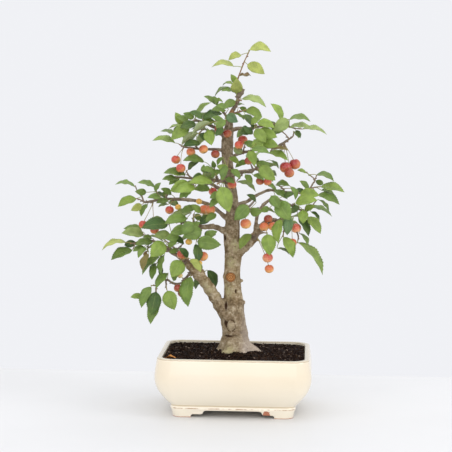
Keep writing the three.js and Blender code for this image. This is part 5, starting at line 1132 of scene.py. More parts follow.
def settle(item, name):
    """Names a finished piece and puts its place into its mesh."""
    pick(item)
    bpy.ops.object.transform_apply(location=True, rotation=True, scale=True)
    item.name = name
    item.data.name = name
    return item


def added(add, **options):
    """What one of Blender's add operators makes, as the only selected object."""
    deselect()
    add(**options)
    return bpy.context.object


def positions(mesh, key="co"):
    """The places of a mesh's vertices, or their normals."""
    values = np.empty(len(mesh.vertices) * 3)
    mesh.vertices.foreach_get(key, values)
    return values.reshape(-1, 3)


def set_positions(mesh, values):
    mesh.vertices.foreach_set("co", np.asarray(values, float).ravel())
    mesh.update()


def set_attribute(mesh, name, values):
    """A value or a colour for each vertex."""
    values = np.asarray(values, float)
    if values.ndim == 1:
        mesh.attributes.new(name, "FLOAT", "POINT").data.foreach_set("value", values)
    else:
        layer = mesh.attributes.new(name, "FLOAT_COLOR", "POINT")
        layer.data.foreach_set("color", np.hstack((values, np.ones((len(values), 1)))).ravel())


def finish_with_modifier(item, kind, **settings):
    """Adds a modifier and applies it."""
    pick(item)
    modifier = item.modifiers.new(kind.title(), kind)
    for key, value in settings.items():
        setattr(modifier, key, value)
    bpy.ops.object.modifier_apply(modifier=modifier.name)


def shade(item, degrees=None):
    """Smooths a piece, all over or where its faces meet at less than an angle."""
    pick(item)
    if degrees is None:
        bpy.ops.object.shade_smooth()
    else:
        bpy.ops.object.shade_smooth_by_angle(angle=math.radians(degrees))


def clothe(item, finish):
    """Gives a piece one finish."""
    item.data.materials.clear()
    item.data.materials.append(finish)


def move_selected(item, before, after):
    """Moves each selected vertex in edit mode from its point of one ring to the same point of the next."""
    form = bmesh.from_edit_mesh(item.data)
    for vert in form.verts:
        if vert.select:
            vert.co = after[int(np.argmin(((before - np.array(vert.co)) ** 2).sum(axis=1)))]
    bmesh.update_edit_mesh(item.data)


def close_form():
    """Turns the faces outwards and leaves edit mode."""
    bpy.ops.mesh.select_all(action="SELECT")
    bpy.ops.mesh.normals_make_consistent(inside=False)
    bpy.ops.object.mode_set(mode="OBJECT")


def seat(item, node, slot):
    """Hangs a piece under the root body and hides the CAD node that it stands for. The slot is not used."""
    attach(item, "root")
    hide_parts(node)


COLOUR_VALUES = ("tint", "blush", "ground")


class Gathered:
    """Many copied small forms, gathered into one mesh with the finish and values of each."""

    def __init__(self, values):
        self.points, self.faces, self.slots, self.uvs = [], [], [], []
        self.values = {name: [] for name in values}
        self.count = 0

    def add(self, points, faces, slot, uv=None, **values):
        """Faces are lists of vertex numbers; a value is one for the whole form or one for each vertex."""
        points = np.asarray(points)
        self.points.append(points)
        self.faces += [tuple(i + self.count for i in face) for face in faces]
        self.slots += [slot] * len(faces)
        self.uvs.append(np.zeros((len(points), 2)) if uv is None else uv)
        for name, store in self.values.items():
            size = (len(points), 3) if name in COLOUR_VALUES else (len(points),)
            store.append(np.broadcast_to(values.get(name, 0.0), size))
        self.count += len(points)

    def make(self, name, finishes):
        mesh = bpy.data.meshes.new(name)
        mesh.from_pydata(np.vstack(self.points).tolist(), [], self.faces)
        mesh.polygons.foreach_set("material_index", self.slots)
        for finish in finishes:
            mesh.materials.append(finish)
        for key, store in self.values.items():
            set_attribute(mesh, key, np.concatenate(store))
        corners = np.empty(len(mesh.loops), int)
        mesh.loops.foreach_get("vertex_index", corners)
        mesh.uv_layers.new(name="UVMap").data.foreach_set("uv", np.vstack(self.uvs)[corners].ravel())
        mesh.update()
        item = bpy.data.objects.new(name, mesh)
        bpy.context.collection.objects.link(item)
        shade(item)
        return item


def tube_form(points, radii, sides):
    """A closed tube along points, as vertices and faces."""
    points, radii = np.asarray(points, float), np.asarray(radii, float)
    slopes = np.gradient(points, axis=0)
    along = slopes / np.linalg.norm(slopes, axis=1, keepdims=True)
    side = FRONT if abs(along[0] @ FRONT) < 0.8 else UP
    rings = []
    angles = np.arange(sides) * (2 * math.pi / sides)
    for point, radius, axis in zip(points, radii, along):
        side = unit(side - axis * side.dot(axis))
        over = np.cross(axis, side)
        rings.append(point + radius * (np.outer(np.cos(angles), side) + np.outer(np.sin(angles), over)))
    verts = np.vstack((*rings, points[0], points[-1]))
    first, last = len(verts) - 2, len(verts) - 1
    faces = []
    for j in range(sides):
        n = (j + 1) % sides
        faces.append((first, n, j))
        top = (len(points) - 1) * sides
        faces.append((last, top + j, top + n))
        for i in range(len(points) - 1):
            a = i * sides
            faces.append((a + j, a + n, a + sides + n, a + sides + j))
    return verts, faces


def template(item):
    """The vertices and faces of a modelled form, to be copied."""
    form = (positions(item.data), [tuple(face.vertices) for face in item.data.polygons])
    bpy.data.objects.remove(item)
    return form


def rotation_to(axis):
    """Turns a form that stands on Z to stand on an axis."""
    return np.array(Vector((0, 0, 1)).rotation_difference(Vector(axis)).to_matrix())


# ---- pot ----

CORNER_STEPS = 10


def corner_radius(half_width):
    """How the pot's plan is rounded where it is as wide as this."""
    return POT["corner"] - (POT["belly"] - half_width) * POT["corner_share"]


def pot_ring(half_width, z):
    """A rounded rectangle of points at a height."""
    half_depth = half_width - POT["depth_less"]
    radius = corner_radius(half_width)
    ring = []
    for corner in range(4):
        sx = 1 if corner in (0, 3) else -1
        sy = 1 if corner < 2 else -1
        for k in range(CORNER_STEPS + 1):
            angle = (corner + k / CORNER_STEPS) * math.pi / 2
            ring.append((
                sx * (half_width - radius) + radius * math.cos(angle),
                sy * (half_depth - radius) + radius * math.sin(angle),
                z,
            ))
    return metres(ring)


def extruded(rings):
    """A closed shape: a face shaped to the first ring, then extruded to each ring in turn."""
    add = bpy.ops.mesh.primitive_circle_add
    item = added(add, vertices=len(rings[0]), fill_type="NGON", location=(0, 0, 0))
    set_positions(item.data, rings[0])
    bpy.ops.object.mode_set(mode="EDIT")
    bpy.ops.mesh.select_all(action="SELECT")
    for before, ring in zip(rings, rings[1:]):
        bpy.ops.mesh.extrude_region_move()
        move_selected(item, before, ring)
    close_form()
    return item


def foot_gap(half, step_half, along_x):
    """The cloud-shaped opening between two feet, as a prism from side to side of the pot."""
    step, top = FOOT_GAP["step_height"], POT["floor_under"]
    right = [
        (half - 5, top), (half - 1.4, top - 1.2), (half, step + 2.5), (half + 0.6, step + 0.9),
        (half + 3, step), (step_half - 3, step), (step_half - 0.9, step * 0.8), (step_half, step * 0.55),
        (step_half, -1),
    ]
    shape = [(-u, z) for u, z in reversed(right)] + right
    reaches = (-FOOT_GAP["reach"], FOOT_GAP["reach"])
    return extruded([metres([(u, v, z) if along_x else (v, u, z) for u, z in shape]) for v in reaches])


def cut_away(item, cutter):
    """Cuts one form out of another."""
    finish_with_modifier(item, "BOOLEAN", operation="DIFFERENCE", solver="EXACT", object=cutter)
    bpy.data.objects.remove(cutter)


def make_pot(settings):
    """The glazed pot: its walls, feet, mouldings and drain holes."""
    pot = extruded([pot_ring(half_width, z) for z, half_width in POT_OUTSIDE + POT_INSIDE])
    cut_away(pot, extruded([pot_ring(POT["foot_wall"], z) for z in (-1, POT["floor_under"])]))
    cut_away(pot, foot_gap(FOOT_GAP["half"], FOOT_GAP["step_half"], True))
    cut_away(pot, foot_gap(FOOT_GAP["half_ends"], FOOT_GAP["step_half_ends"], False))
    for side in (-1, 1):
        place = metres((side * DRAIN["x"], 0, (POT["floor_under"] + POT["floor_top"]) / 2))
        cut_away(pot, added(
            bpy.ops.mesh.primitive_cylinder_add, vertices=40, radius=DRAIN["radius"] * MM,
            depth=POT["floor_top"] * MM, location=place,
        ))
    bevel = {"segments": 2, "limit_method": "ANGLE", "angle_limit": math.radians(40)}
    finish_with_modifier(pot, "BEVEL", width=settings.edge_round, **bevel)
    settle(pot, "glazed_pot")
    # the inward-facing wall, which the glaze finish greys as painted shade
    outward = positions(pot.data, "normal") * (positions(pot.data) - np.array(CENTRE))
    set_attribute(pot.data, "inside", smooth_step(-outward[:, :2].sum(axis=1), 0, 0.03))
    clothe(pot, glaze_finish(settings))
    shade(pot, 42)
    seat(pot, "pot", "glaze")


# ---- soil ----


def soil_height(x, y):
    """The top of the soil in millimetres: a low mound with crumbs."""
    mound = SOIL["mound"] * np.exp(-(x * x + y * y) / SOIL["mound_radius"] ** 2)
    crumbs = ripple(x, y, 6) * 0.6 + ripple(y + 40, x - 15, 3.2) * 0.4
    return SOIL["edge"] + mound + SOIL["grain"] * crumbs


def rounded(u, v, half_width):
    """Points of a square (-1 to 1) spread over the pot's rounded rectangle."""
    half_depth = half_width - POT["depth_less"]
    radius = corner_radius(half_width)
    share = np.maximum(np.maximum(np.abs(u), np.abs(v)), 1e-9)
    x, y = np.abs(u) / share * half_width, np.abs(v) / share * half_depth
    cx, cy = half_width - radius, half_depth - radius
    corner = (x > cx) & (y > cy)
    reach = np.hypot(x - cx, y - cy)
    x = np.where(corner, cx + (x - cx) * radius / np.maximum(reach, 1e-9), x)
    y = np.where(corner, cy + (y - cy) * radius / np.maximum(reach, 1e-9), y)
    return np.sign(u) * x * share, np.sign(v) * y * share


def soil_block():
    """The filled block of soil: a crumbly top, and sides that follow the wall of the pot."""
    add, (columns, rows) = bpy.ops.mesh.primitive_grid_add, SOIL["grid"]
    block = added(add, x_subdivisions=columns, y_subdivisions=rows, size=2, location=(0, 0, 0))
    square = positions(block.data)
    x, y = rounded(square[:, 0], square[:, 1], SOIL["edge_half"])
    draw = np.random.RandomState(3)
    fine = 0.35 * ripple(x + 9, y, 1.7) + 0.35 * ripple(y, x, 1.1) + draw.uniform(-0.3, 0.3, len(x))
    edge = np.maximum(np.abs(square[:, 0]), np.abs(square[:, 1])) > 0.999
    set_positions(block.data, metres(np.column_stack((x, y, soil_height(x, y) + np.where(edge, 0, fine)))))
    bpy.ops.object.mode_set(mode="EDIT")
    bpy.ops.mesh.select_all(action="SELECT")
    bpy.ops.mesh.region_to_loop()
    rims = square[edge]
    before = metres(np.column_stack((x, y, soil_height(x, y))))[edge]
    low, high = SOIL["bottom"] + 1, SOIL["edge"] - 1
    walls = [(z, half_width - SOIL["wall_gap"]) for z, half_width in POT_INSIDE if low < z < high]
    for z, half_width in [*walls, (SOIL["bottom"], SOIL["bottom_half"])]:
        bpy.ops.mesh.extrude_edges_move()
        wx, wy = rounded(rims[:, 0], rims[:, 1], half_width)
        ring = metres(np.column_stack((wx, wy, np.full(len(wx), z))))
        move_selected(block, before, ring)
        before = ring
    bpy.ops.mesh.edge_face_add()
    close_form()
    set_attribute(block.data, "pale", np.zeros(len(block.data.vertices)))
    return block


def ball_form(subdivisions):
    """A ball of radius 1 as vertices and faces."""
    add = bpy.ops.mesh.primitive_ico_sphere_add
    return template(added(add, subdivisions=subdivisions, radius=1, location=(0, 0, 0)))


def grain_form(draw):
    """An uneven, slightly flat crumb."""
    points, faces = ball_form(1)
    return points * draw.uniform(0.72, 1.15, (len(points), 1)) * (1, 1, 0.8), faces


def clear_of_pieces(x, y):
    """Keeps loose crumbs off the foot of the trunk and the fallen leaf."""
    middle = (np.array(FALLEN["base"][:2]) + FALLEN["tip"][:2]) / 2
    wide, deep = TRUNK_FOOT["half"]
    off_trunk = (x - TRUNK_FOOT["x"]) ** 2 / wide ** 2 + y ** 2 / deep ** 2 > 1
    return off_trunk and math.hypot(x - middle[0], y - middle[1]) > FALLEN["clear"]


def spot_on_soil(draw, reach):
    """A random place on the soil."""
    u, v = draw.uniform(-reach, reach, 2)
    return (float(value) for value in rounded(np.array(u), np.array(v), SOIL["edge_half"]))


def make_soil(settings):
    """The soil, its loose crumbs, and the fine roots and straws among them."""
    draw = np.random.RandomState(11)
    finish = soil_finish(settings)
    forms = [grain_form(draw) for _ in range(CRUMB["forms"])]
    crumbs = Gathered(("pale",))
    placed = 0
    while placed < settings.crumbs:
        x, y = spot_on_soil(draw, 0.975)
        size = CRUMB["least"] + CRUMB["more"] * draw.uniform() ** 3
        turn = Matrix.Rotation(draw.uniform(0, FULL_TURN), 3, "Z")
        turn = turn @ Matrix.Rotation(draw.uniform(0, FULL_TURN), 3, "X")
        pale = draw.uniform()
        if not clear_of_pieces(x, y):
            continue
        points, faces = forms[placed % len(forms)]
        where = np.array((x, y, soil_height(x, y) + 0.25 * size))
        crumbs.add(metres(where + (points * size) @ np.array(turn)), faces, 0, pale=pale)
        placed += 1
    for _ in range(settings.straws):
        x, y = spot_on_soil(draw, 0.9)
        heading, bend = draw.uniform(0, FULL_TURN), draw.uniform(-1, 1)
        length = draw.uniform(*STRAW["length"])
        line = []
        for t in np.linspace(0, 1, STRAW["steps"]):
            turn = heading + bend * t
            px, py = x + math.cos(turn) * length * t, y + math.sin(turn) * length * t
            line.append((px, py, soil_height(px, py) + 0.7 + 0.5 * math.sin(t * 3.1)))
        wide, deep = STRAW["reach"]
        if all(abs(p[0]) < wide and abs(p[1]) < deep and clear_of_pieces(p[0], p[1]) for p in line):
            radii = np.linspace(0.4, 0.22, STRAW["steps"]) * MM
            crumbs.add(*tube_form(metres(line), radii, 5), 0, pale=draw.uniform(0.7, 1.0))
    loose = crumbs.make("loose_crumbs", [finish])
    block = soil_block()
    clothe(block, finish)
    pick(block, loose)
    bpy.ops.object.join()
    settle(block, "soil_surface")
    shade(block, 50)
    seat(block, "soil", "soil")


# ---- wood ----

# Clefts on the front, dented and darkened with painted shade: x, z, half width, half height, depth.
CLEFTS = [
    (-11.5, 159, 2.6, 8, 3), (-12, 134, 2.4, 5, 2.4), (-14, 262, 2, 5, 1.4), (3, 182, 1.6, 4, 0.9),
    (-7, 114, 8, 1.9, 1.2),
]
# Patches of lichen, and burrs: x, y, z, radius.
LICHEN = [(-9, -30, 92, 11), (-12, -14, 182, 9), (-6, -14, 226, 8), (-40, -24, 186, 10), (4, -13, 252, 9)]
BURRS = [
    (14.6, -3, 164, 3.6), (11.8, -2, 197, 2.4), (-14, -5, 205, 1.6), (-25, -9, 279, 3.4),
    (-30, -10, 268, 2.4), (-13, -8, 124, 3), (10, -12, 150, 2.4), (22, -8, 252, 2.6), (-34, -9, 177, 2.4),
]
BURR_STEP = 9  # along a limb from burr to burr
BATCH = 4000  # vertices measured at once, to save memory


def bump_at(x, y, z, centre, radius):
    """1 at a point, fading round it."""
    away = (x - centre[0]) ** 2 + (y - centre[1]) ** 2 + (z - centre[2]) ** 2
    return np.exp(-away / (radius * radius))


def dent_at(x, z, row):
    """1 in the middle of a cleft, fading round it."""
    cx, cz, wide, tall = row[:4]
    return np.exp(-((x - cx) / wide) ** 2 - ((z - cz) / tall) ** 2)


def trunk_relief(middle, direction):
    """How far the bark stands out: root flare, knobs and the healed scar."""
    z = middle[:, 2]
    angle = np.degrees(np.arctan2(direction[:, 1], direction[:, 0]))
    extra = np.zeros(len(z))
    for heading, reach, width in ROOTS:
        off = (angle - heading + 540) % 360 - 180
        fall = np.exp(-np.maximum(z - 88, 0) / 9) * np.where(z < 88, 0.75 + (88 - z) * 0.01, 1)
        extra += reach * fall * np.exp(-((off / width) ** 2))
    x, y = middle[:, 0] + direction[:, 0] * 12, middle[:, 1] + direction[:, 1] * 12
    for kx, ky, kz, reach, height in KNOTS:
        extra += height * bump_at(x, y, z, (kx, ky, kz), reach)
    scar = np.hypot(x - SCAR["centre"][0], z - SCAR["centre"][2]) / SCAR["radius"]
    wound = 1.5 * np.exp(-(((scar - 0.85) / 0.3) ** 2)) - 1.1 * np.exp(-((scar / 0.55) ** 2))
    extra += np.where(direction[:, 1] < -0.2, wound, 0)
    return extra + 0.5 * np.sin(angle * 0.14 + z * 0.05) + 0.4 * np.sin(angle * 0.21 - z * 0.09)


def wood_tube(points, radii, resolution):
    """A tube along a smooth line, drawn as a bevelled curve and made a mesh."""
    curve = bpy.data.curves.new("limb", "CURVE")
    curve.dimensions = "3D"
    curve.bevel_depth = 1.0
    curve.bevel_resolution = resolution
    curve.use_fill_caps = True
    spline = curve.splines.new("POLY")
    spline.points.add(len(points) - 1)
    for knot, place, radius in zip(spline.points, grown(points), radii):
        knot.co = (*place, 1.0)
        knot.radius = radius * MM
    item = bpy.data.objects.new("limb", curve)
    bpy.context.collection.objects.link(item)
    pick(item)
    bpy.ops.object.convert(target="MESH")
    return bpy.context.object


def burrs_along(wood):
    """Small spur scars and burrs, placed along the limbs by a seeded rule."""
    points, faces = ball_form(2)
    draw = np.random.RandomState(21)
    burrs = Gathered(())
    for x, y, z, radius in BURRS:
        burrs.add(grown((x, y, z) + points * radius), faces, 0)
    for line, radii in wood[1:]:
        away = np.concatenate(([0], np.cumsum(np.linalg.norm(np.diff(line, axis=0), axis=1))))
        place = 6.0
        while place < away[-1] - 3:
            middle = np.array([np.interp(place, away, line[:, k]) for k in range(3)])
            reach = np.interp(place, away, radii)
            size = min(0.42 * reach + 0.5, 2.6) * draw.uniform(0.7, 1.15)
            out = unit(draw.uniform(-1, 1, 3) + (0, -0.3, 0))
            burrs.add(grown(middle + out * reach * 0.85 + points * size), faces, 0)
            place += BURR_STEP * draw.uniform(0.6, 1.6)
    return burrs.make("burrs", [])


def healed_wound(x, z, front):
    """The raised middle and the sunk ring of the healed wound."""
    (cx, cz), (wide, tall) = HEALED["centre"], HEALED["half"]
    away = np.hypot((x - cx) / wide, (z - cz) / tall)
    return np.exp(-((away / 0.62) ** 2)) * front, np.exp(-(((away - 1.05) / 0.2) ** 2)) * front


def bark_height(points, radii):
    """Fine relief of the bark, in millimetres, less on thin wood."""
    heights = np.empty(len(points))
    for k, (x, y, z) in enumerate(points):
        heights[k] = (
            0.55 * noise.noise((x / 9, y / 9, z / 9)) + 0.35 * noise.noise((x / 4, y / 4, z / 2.6))
            + 0.2 * noise.noise((x / 1.9, y / 1.9, z / 1.5))
        )
    wrinkles = 0.12 * np.sin(points[:, 2] * 1.9 + 1.5 * ripple(points[:, 0], points[:, 2], 9))
    return (heights + wrinkles) * np.clip(radii / 9, 0.15, 1)


def shaped_trunk():
    """The trunk with its root flare, knobs and clefts, and the line and radii it was drawn along."""
    line, radii = smooth_path(*stations_of(TRUNK), 5)
    trunk = wood_tube(line, radii, 14)
    points = in_tree(trunk.data)
    across = [np.interp(points[:, 2], line[:, 2], line[:, k]) for k in (0, 1)]
    middle = np.column_stack((*across, points[:, 2]))
    outward = (points - middle) * (1, 1, 0)
    outward /= np.maximum(np.linalg.norm(outward, axis=1, keepdims=True), 1e-6)
    caps = (points[:, 2] < line[0, 2] + 0.1) | (points[:, 2] > CUT["face"])
    points += outward * np.where(caps, 0, trunk_relief(middle, outward))[:, None]
    for row in CLEFTS:
        dent = row[4] * dent_at(points[:, 0], points[:, 2], row)
        points -= outward * (dent * (outward[:, 1] < 0))[:, None]
    set_positions(trunk.data, grown(points))
    return trunk, line, radii


def local_radii(points, wood):
    """The radius of the trunk or limb that each point lies nearest to."""
    stations = np.vstack([path for path, _ in wood])
    widths = np.concatenate([radii for _, radii in wood])
    local = np.empty(len(points))
    for start in range(0, len(points), BATCH):
        block = points[start:start + BATCH]
        gaps = np.linalg.norm(block[:, None] - stations[None], axis=2) - widths
        local[start:start + BATCH] = widths[gaps.argmin(axis=1)]
    return local


def relieve_bark(trunk, wood):
    """Raises the fine relief, the scar and the healed wound, and says where each colour of bark lies."""
    points = in_tree(trunk.data)
    local = local_radii(points, wood)
    normals = positions(trunk.data, "normal") @ TURN
    height = bark_height(points, local)
    x, y, z = points.T
    sx, sy, sz = SCAR["centre"]
    front = normals[:, 1] < 0.1
    scar = np.clip(1 - np.hypot(x - sx, z - sz) / SCAR["radius"], 0, 1) * front
    scar = scar * (np.abs(y - sy) < SCAR["depth"])
    height = np.where(scar > 0.05, 0.2 * np.sin(scar * 21) + 0.4 * height, height)
    raised, ring = healed_wound(x, z, front & (np.abs(x) < HEALED["reach"]))
    height += 0.9 * raised - 0.7 * ring
    set_positions(trunk.data, grown(points + normals * height[:, None]))
    # painted shade in the clefts, the hollows of the fine relief and the sunk ring of the healed wound
    cleft = sum(dent_at(x, z, row) for row in CLEFTS) * front + smooth_step(-height, 0.3, 0.8) * 0.55
    cleft = cleft + ring * (0.28 + 0.2 * np.sin(x * 1.3 + z))
    lichen = sum(bump_at(x, y, z, place[:3], place[3]) for place in LICHEN)
    tawny = smooth_step(z, CUT["tawny"], CUT["face"]) * 0.85
    for name, value in (
        ("cleft", np.clip(cleft, 0, 1)), ("lichen", np.clip(lichen, 0, 1)), ("scar", scar),
        ("healed", raised), ("young", 1 - smooth_step(local, 2.2, 6.0)), ("tawny", tawny),
    ):
        set_attribute(trunk.data, name, value)


def make_wood(settings):
    """Trunk and limbs grown into one, with root flare, knobs, clefts, lichen and the pruning scar."""
    trunk, *drawn = shaped_trunk()
    parts, wood = [trunk], [drawn]
    for rows in LIMBS.values():
        path, widths = smooth_path(*stations_of(rows), 4)
        k = np.arange(len(widths))
        swell = 1 + 0.09 * np.sin(k * 1.9 + rows[0][1]) + 0.05 * np.sin(k * 0.7)
        wood.append((path, widths * swell))
        parts.append(wood_tube(*wood[-1], 5 if rows[0][3] > 7 else 3))
    parts.append(added(
        bpy.ops.mesh.primitive_ico_sphere_add, subdivisions=4, radius=1, location=grown(ROOT_KNOB["centre"]),
        scale=[value * MM for value in ROOT_KNOB["half"]],
    ))
    parts.append(burrs_along(wood))
    pick(*parts)
    bpy.ops.object.join()
    settle(trunk, "trunk_and_limbs")
    finish_with_modifier(trunk, "REMESH", mode="VOXEL", voxel_size=settings.voxel)
    finish_with_modifier(trunk, "SMOOTH", factor=0.5, iterations=2)
    relieve_bark(trunk, wood)
    clothe(trunk, bark_finish(settings))
    shade(trunk)
    seat(trunk, "trunk", "bark")


# ---- shoots ----


def leaf_form(rows):
    """A leaf modelled once: where its points lie along and across it, their side, and its toothed outline."""
    add = bpy.ops.mesh.primitive_grid_add
    item = added(add, x_subdivisions=rows, y_subdivisions=4, size=2, location=(0, 0, 0))
    finish_with_modifier(item, "SOLIDIFY", thickness=0.2, offset=0.0)
    points, faces = template(item)
    along, across, side = (points[:, 0] + 1) / 2, points[:, 1], np.sign(points[:, 2])
    half = np.interp(along, *np.array(LEAF_OUTLINE).T)
    row = np.rint(along * rows).astype(int)
    toothed = (np.abs(across) > 0.99) & (row > 2) & (row < rows - 1)
    tooth, notch = toothed & (row % 2 == 1), toothed & (row % 2 == 0)
    half = half * np.where(tooth, 1.13, np.where(notch, 0.99, 1.06))
    along = along + np.where(tooth, 0.45 / rows, 0)
    return {"along": along, "across": across, "side": side, "half": half, "faces": faces}


def add_leaf(shoots, form, leaf, settings, draw):
    """A blade, its petiole and midrib, and the swelling where it leaves its twig."""
    blade, tint = leaf["blade"], leaf["tint"]
    t, s = form["along"], form["across"] * form["half"]
    span = min(blade["length"] / 30, 1)
    off = np.abs(form["across"])
    waves = np.sin(FULL_TURN * (draw.uniform(1.6, 2.6) * t) + draw.uniform(0, FULL_TURN) + 1.9 * (s > 0))
    rise = (
        settings.wave / MM * span * s * s * waves
        - 0.03 * blade["length"] * smooth_step(t, 0.72, 1)
        + 0.25 * span * (1 - off) * off * np.sin(57 * t - 22 * np.abs(s))
        + form["side"] * settings.thickness / MM / 2 * (1 - 0.5 * off)
    )
    if tint == "r":
        rise = rise + 1.6 * np.abs(s) * np.sin(9 * t + 1)
    points = on_blade(blade, t, s, rise)
    points += np.outer(0.018 * blade["length"] * np.sin(3.14 * t) * draw.uniform(-1, 1), blade["across"])
    colour = np.array(linear(FOLIAGE[tint])) * draw.uniform(0.82, 1.16)
    uv = np.column_stack((0.5 + form["across"] / 2, t))
    shoots.add(grown(points), form["faces"], 0, uv, tint=colour, under=(form["side"] < 0).astype(float))
    root, base = leaf["root"], blade["base"]
    gap = np.linalg.norm(base - root)
    sag = root + (base - root) * 0.35 + UP * min(1.1, gap * 0.12)
    neck = base - blade["axis"] * min(gap * 0.35, 4)
    line = []
    for k in np.arange(7) / 7:
        j = 1 - k
        line.append(root * j ** 3 + sag * 3 * k * j ** 2 + neck * 3 * k * k * j + base * k ** 3)
    ribs = np.array((0.0, 0.12, 0.3, 0.5, 0.68, 0.84))
    line = np.vstack((line, on_blade(blade, ribs, 0 * ribs, -0.32)))
    widths = np.concatenate(((1.05, 0.66, 0.54, 0.5, 0.5, 0.5, 0.52), np.linspace(0.5, 0.14, 6)))
    age = draw.uniform(0.0, 0.3)
    shoots.add(*tube_form(grown(line), widths * MM, 5), 1, age=age)


def add_bud(shoots, base, axis, radius, age):
    """A pointed bud."""
    line = base + np.outer((-0.8, 0.2, 1.1, 2.0, 2.7), axis)
    widths = np.array((0.6, 1.05, 1.1, 0.75, 0.2)) * radius
    shoots.add(*tube_form(grown(line), widths * MM, 6), 1, age=age)


def add_twig(shoots, points, radii, age, draw):
    """A twig with side buds and a bud at its end; a stout one is cut blunt."""
    line, widths = smooth_path(points, np.maximum(radii, 0.7), 4, 0.32)
    widths = widths * (1 + 0.1 * np.sin(np.arange(len(widths)) * 1.7))
    ages = np.clip(age + 0.25 * (widths - 0.9), 0.25, 1)
    sides = 12 if widths[-1] > BLUNT else 7
    verts, faces = tube_form(grown(line), widths * MM, sides)
    shoots.add(verts, faces, 1, age=np.concatenate((np.repeat(ages, sides), ages[:1], ages[-1:])))
    if widths[-1] > BLUNT:
        return
    add_bud(shoots, line[-1], unit(line[-1] - line[-2]), widths[-1], 0.5)
    for k in range(2, len(line) - 2, 3):
        ahead = unit(line[k + 1] - line[k])
        out = unit(np.cross(ahead, draw.uniform(-1, 1, 3)))
        place, radius = line[k] + out * widths[k] * 0.8, 0.62 + 0.2 * widths[k]
        add_bud(shoots, place, unit(out + ahead), radius, min(age + 0.1, 1))


def make_shoots(settings):
    """Every leafy shoot: round twigs with buds, curved petioles and toothed, veined blades."""
    form = leaf_form(settings.leaf_rows)
    finishes = [leaf_finish(settings), shoot_finish()]
    for number, (name, spray) in enumerate(LAYOUT["sprays"].items()):
        draw = np.random.RandomState(100 + number)
        shoots = Gathered(("tint", "under", "age"))
        age = 0.5 if name in ("leader", "top_right") else 0.75
        for points, radii in spray["seated"]:
            add_twig(shoots, points, radii, age, draw)
        for leaf in LAYOUT["leaves"]:
            if leaf["spray"] == name:
                add_leaf(shoots, form, leaf, settings, draw)
        seat(shoots.make(f"{name}_shoot", finishes), f"spray_{name}", "foliage")


# ---- fruit ----


def apple_form():
    """An apple of diameter 1, modelled once: a sphere drawn in at the stalk and flattened at the eye."""
    add = bpy.ops.mesh.primitive_uv_sphere_add
    points, faces = template(added(add, segments=18, ring_count=13, radius=0.5, location=(0, 0, 0)))
    x, y, z = points.T
    reach = np.hypot(x, y)
    z = z * np.where(z > 0, 0.97, 0.92) - 0.02
    z = z - 0.13 * np.exp(-((reach / 0.15) ** 2)) * (points[:, 2] > 0)
    z = z + 0.06 * np.exp(-((reach / 0.13) ** 2)) * (points[:, 2] < 0)
    ribs = 1 + 0.012 * np.cos(5 * np.arctan2(y, x)) * (points[:, 2] < 0)
    return np.column_stack((x * ribs, y * ribs, z)), faces


def calyx_form():
    """Five dry sepals around the eye of an apple, modelled once."""
    item = added(
        bpy.ops.mesh.primitive_cone_add, vertices=10, radius1=0.075, radius2=0.15, depth=0.09,
        location=(0, 0, -0.415), end_fill_type="NGON",
    )
    points, faces = template(settle(item, "calyx"))
    low = points[:, 2] < points[:, 2].mean()
    angle = np.arctan2(points[:, 1], points[:, 0])
    spread = np.where(low, 1.25 + 0.75 * np.cos(5 * angle), 0.55)
    return points * np.column_stack((spread, spread, np.ones(len(points)))), faces


def add_apple(fruit, forms, one, tint, draw):
    """An apple with its calyx and its stalk."""
    apple = forms[0][0]
    spin = np.array(Matrix.Rotation(draw.uniform(0, FULL_TURN), 3, "Z"))
    turn = spin.T @ rotation_to(one["axis"]).T
    sun = unit(np.array((draw.uniform(-0.7, 0.3), -0.5, 0.8)))
    facing = (apple / 0.5) @ turn @ sun
    blush, ground = (np.array(linear(text)) * draw.uniform(0.93, 1.07) for text in FRUIT[tint])
    end = smooth_step(-apple[:, 2] - np.hypot(*apple[:, :2].T) * 0.5, 0.3, 0.42)
    for slot, (points, faces) in enumerate(forms):
        placed = one["centre"] + one["diameter"] * (points @ turn)
        own = {"sun": 0.5 + 0.5 * facing, "end": end} if slot == 0 else {}
        fruit.add(grown(placed), faces, slot, blush=blush, ground=ground, **own)
    hub, dimple = one["stalk"]
    length = np.linalg.norm(dimple - hub)
    side = unit(np.cross(dimple - hub, UP) + 1e-6)
    k = np.linspace(0, 1, 8)[:, None]
    bow = side * draw.uniform(-0.05, 0.05) * length + UP * min(0.05 * length, 1.2)
    line = hub + (dimple - hub) * k + bow * 4 * k * (1 - k)
    widths = np.array((0.95, 0.62, 0.5, 0.48, 0.48, 0.5, 0.56, 0.6))
    fruit.add(*tube_form(grown(line), widths * MM, 6), 2, age=draw.uniform(0.15, 0.4))


def make_fruit():
    """Every bunch of crabapples, with spurs, curved stalks and dry calyces."""
    forms = apple_form(), calyx_form()
    finishes = [apple_finish(), calyx_finish(), shoot_finish()]
    for number, (name, bunch) in enumerate(LAYOUT["bunches"].items()):
        draw = np.random.RandomState(500 + number)
        fruit = Gathered(("blush", "ground", "sun", "end", "age"))
        start, knuckle = bunch["spur"]
        spur = start + np.outer(np.linspace(0, 1, 6), knuckle - start)
        fruit.add(*tube_form(grown(spur), np.array((1.2, 1.35, 1.2, 1.4, 1.3, 0.9)) * MM, 7), 2, age=0.85)
        for tint, one in zip(BUNCHES[name][2], bunch["apples"]):
            add_apple(fruit, forms, one, tint, draw)
        seat(fruit.make(f"{name}_fruit", finishes), f"apples_{name}", "fruit")


# ---- fallen leaf and drain meshes ----


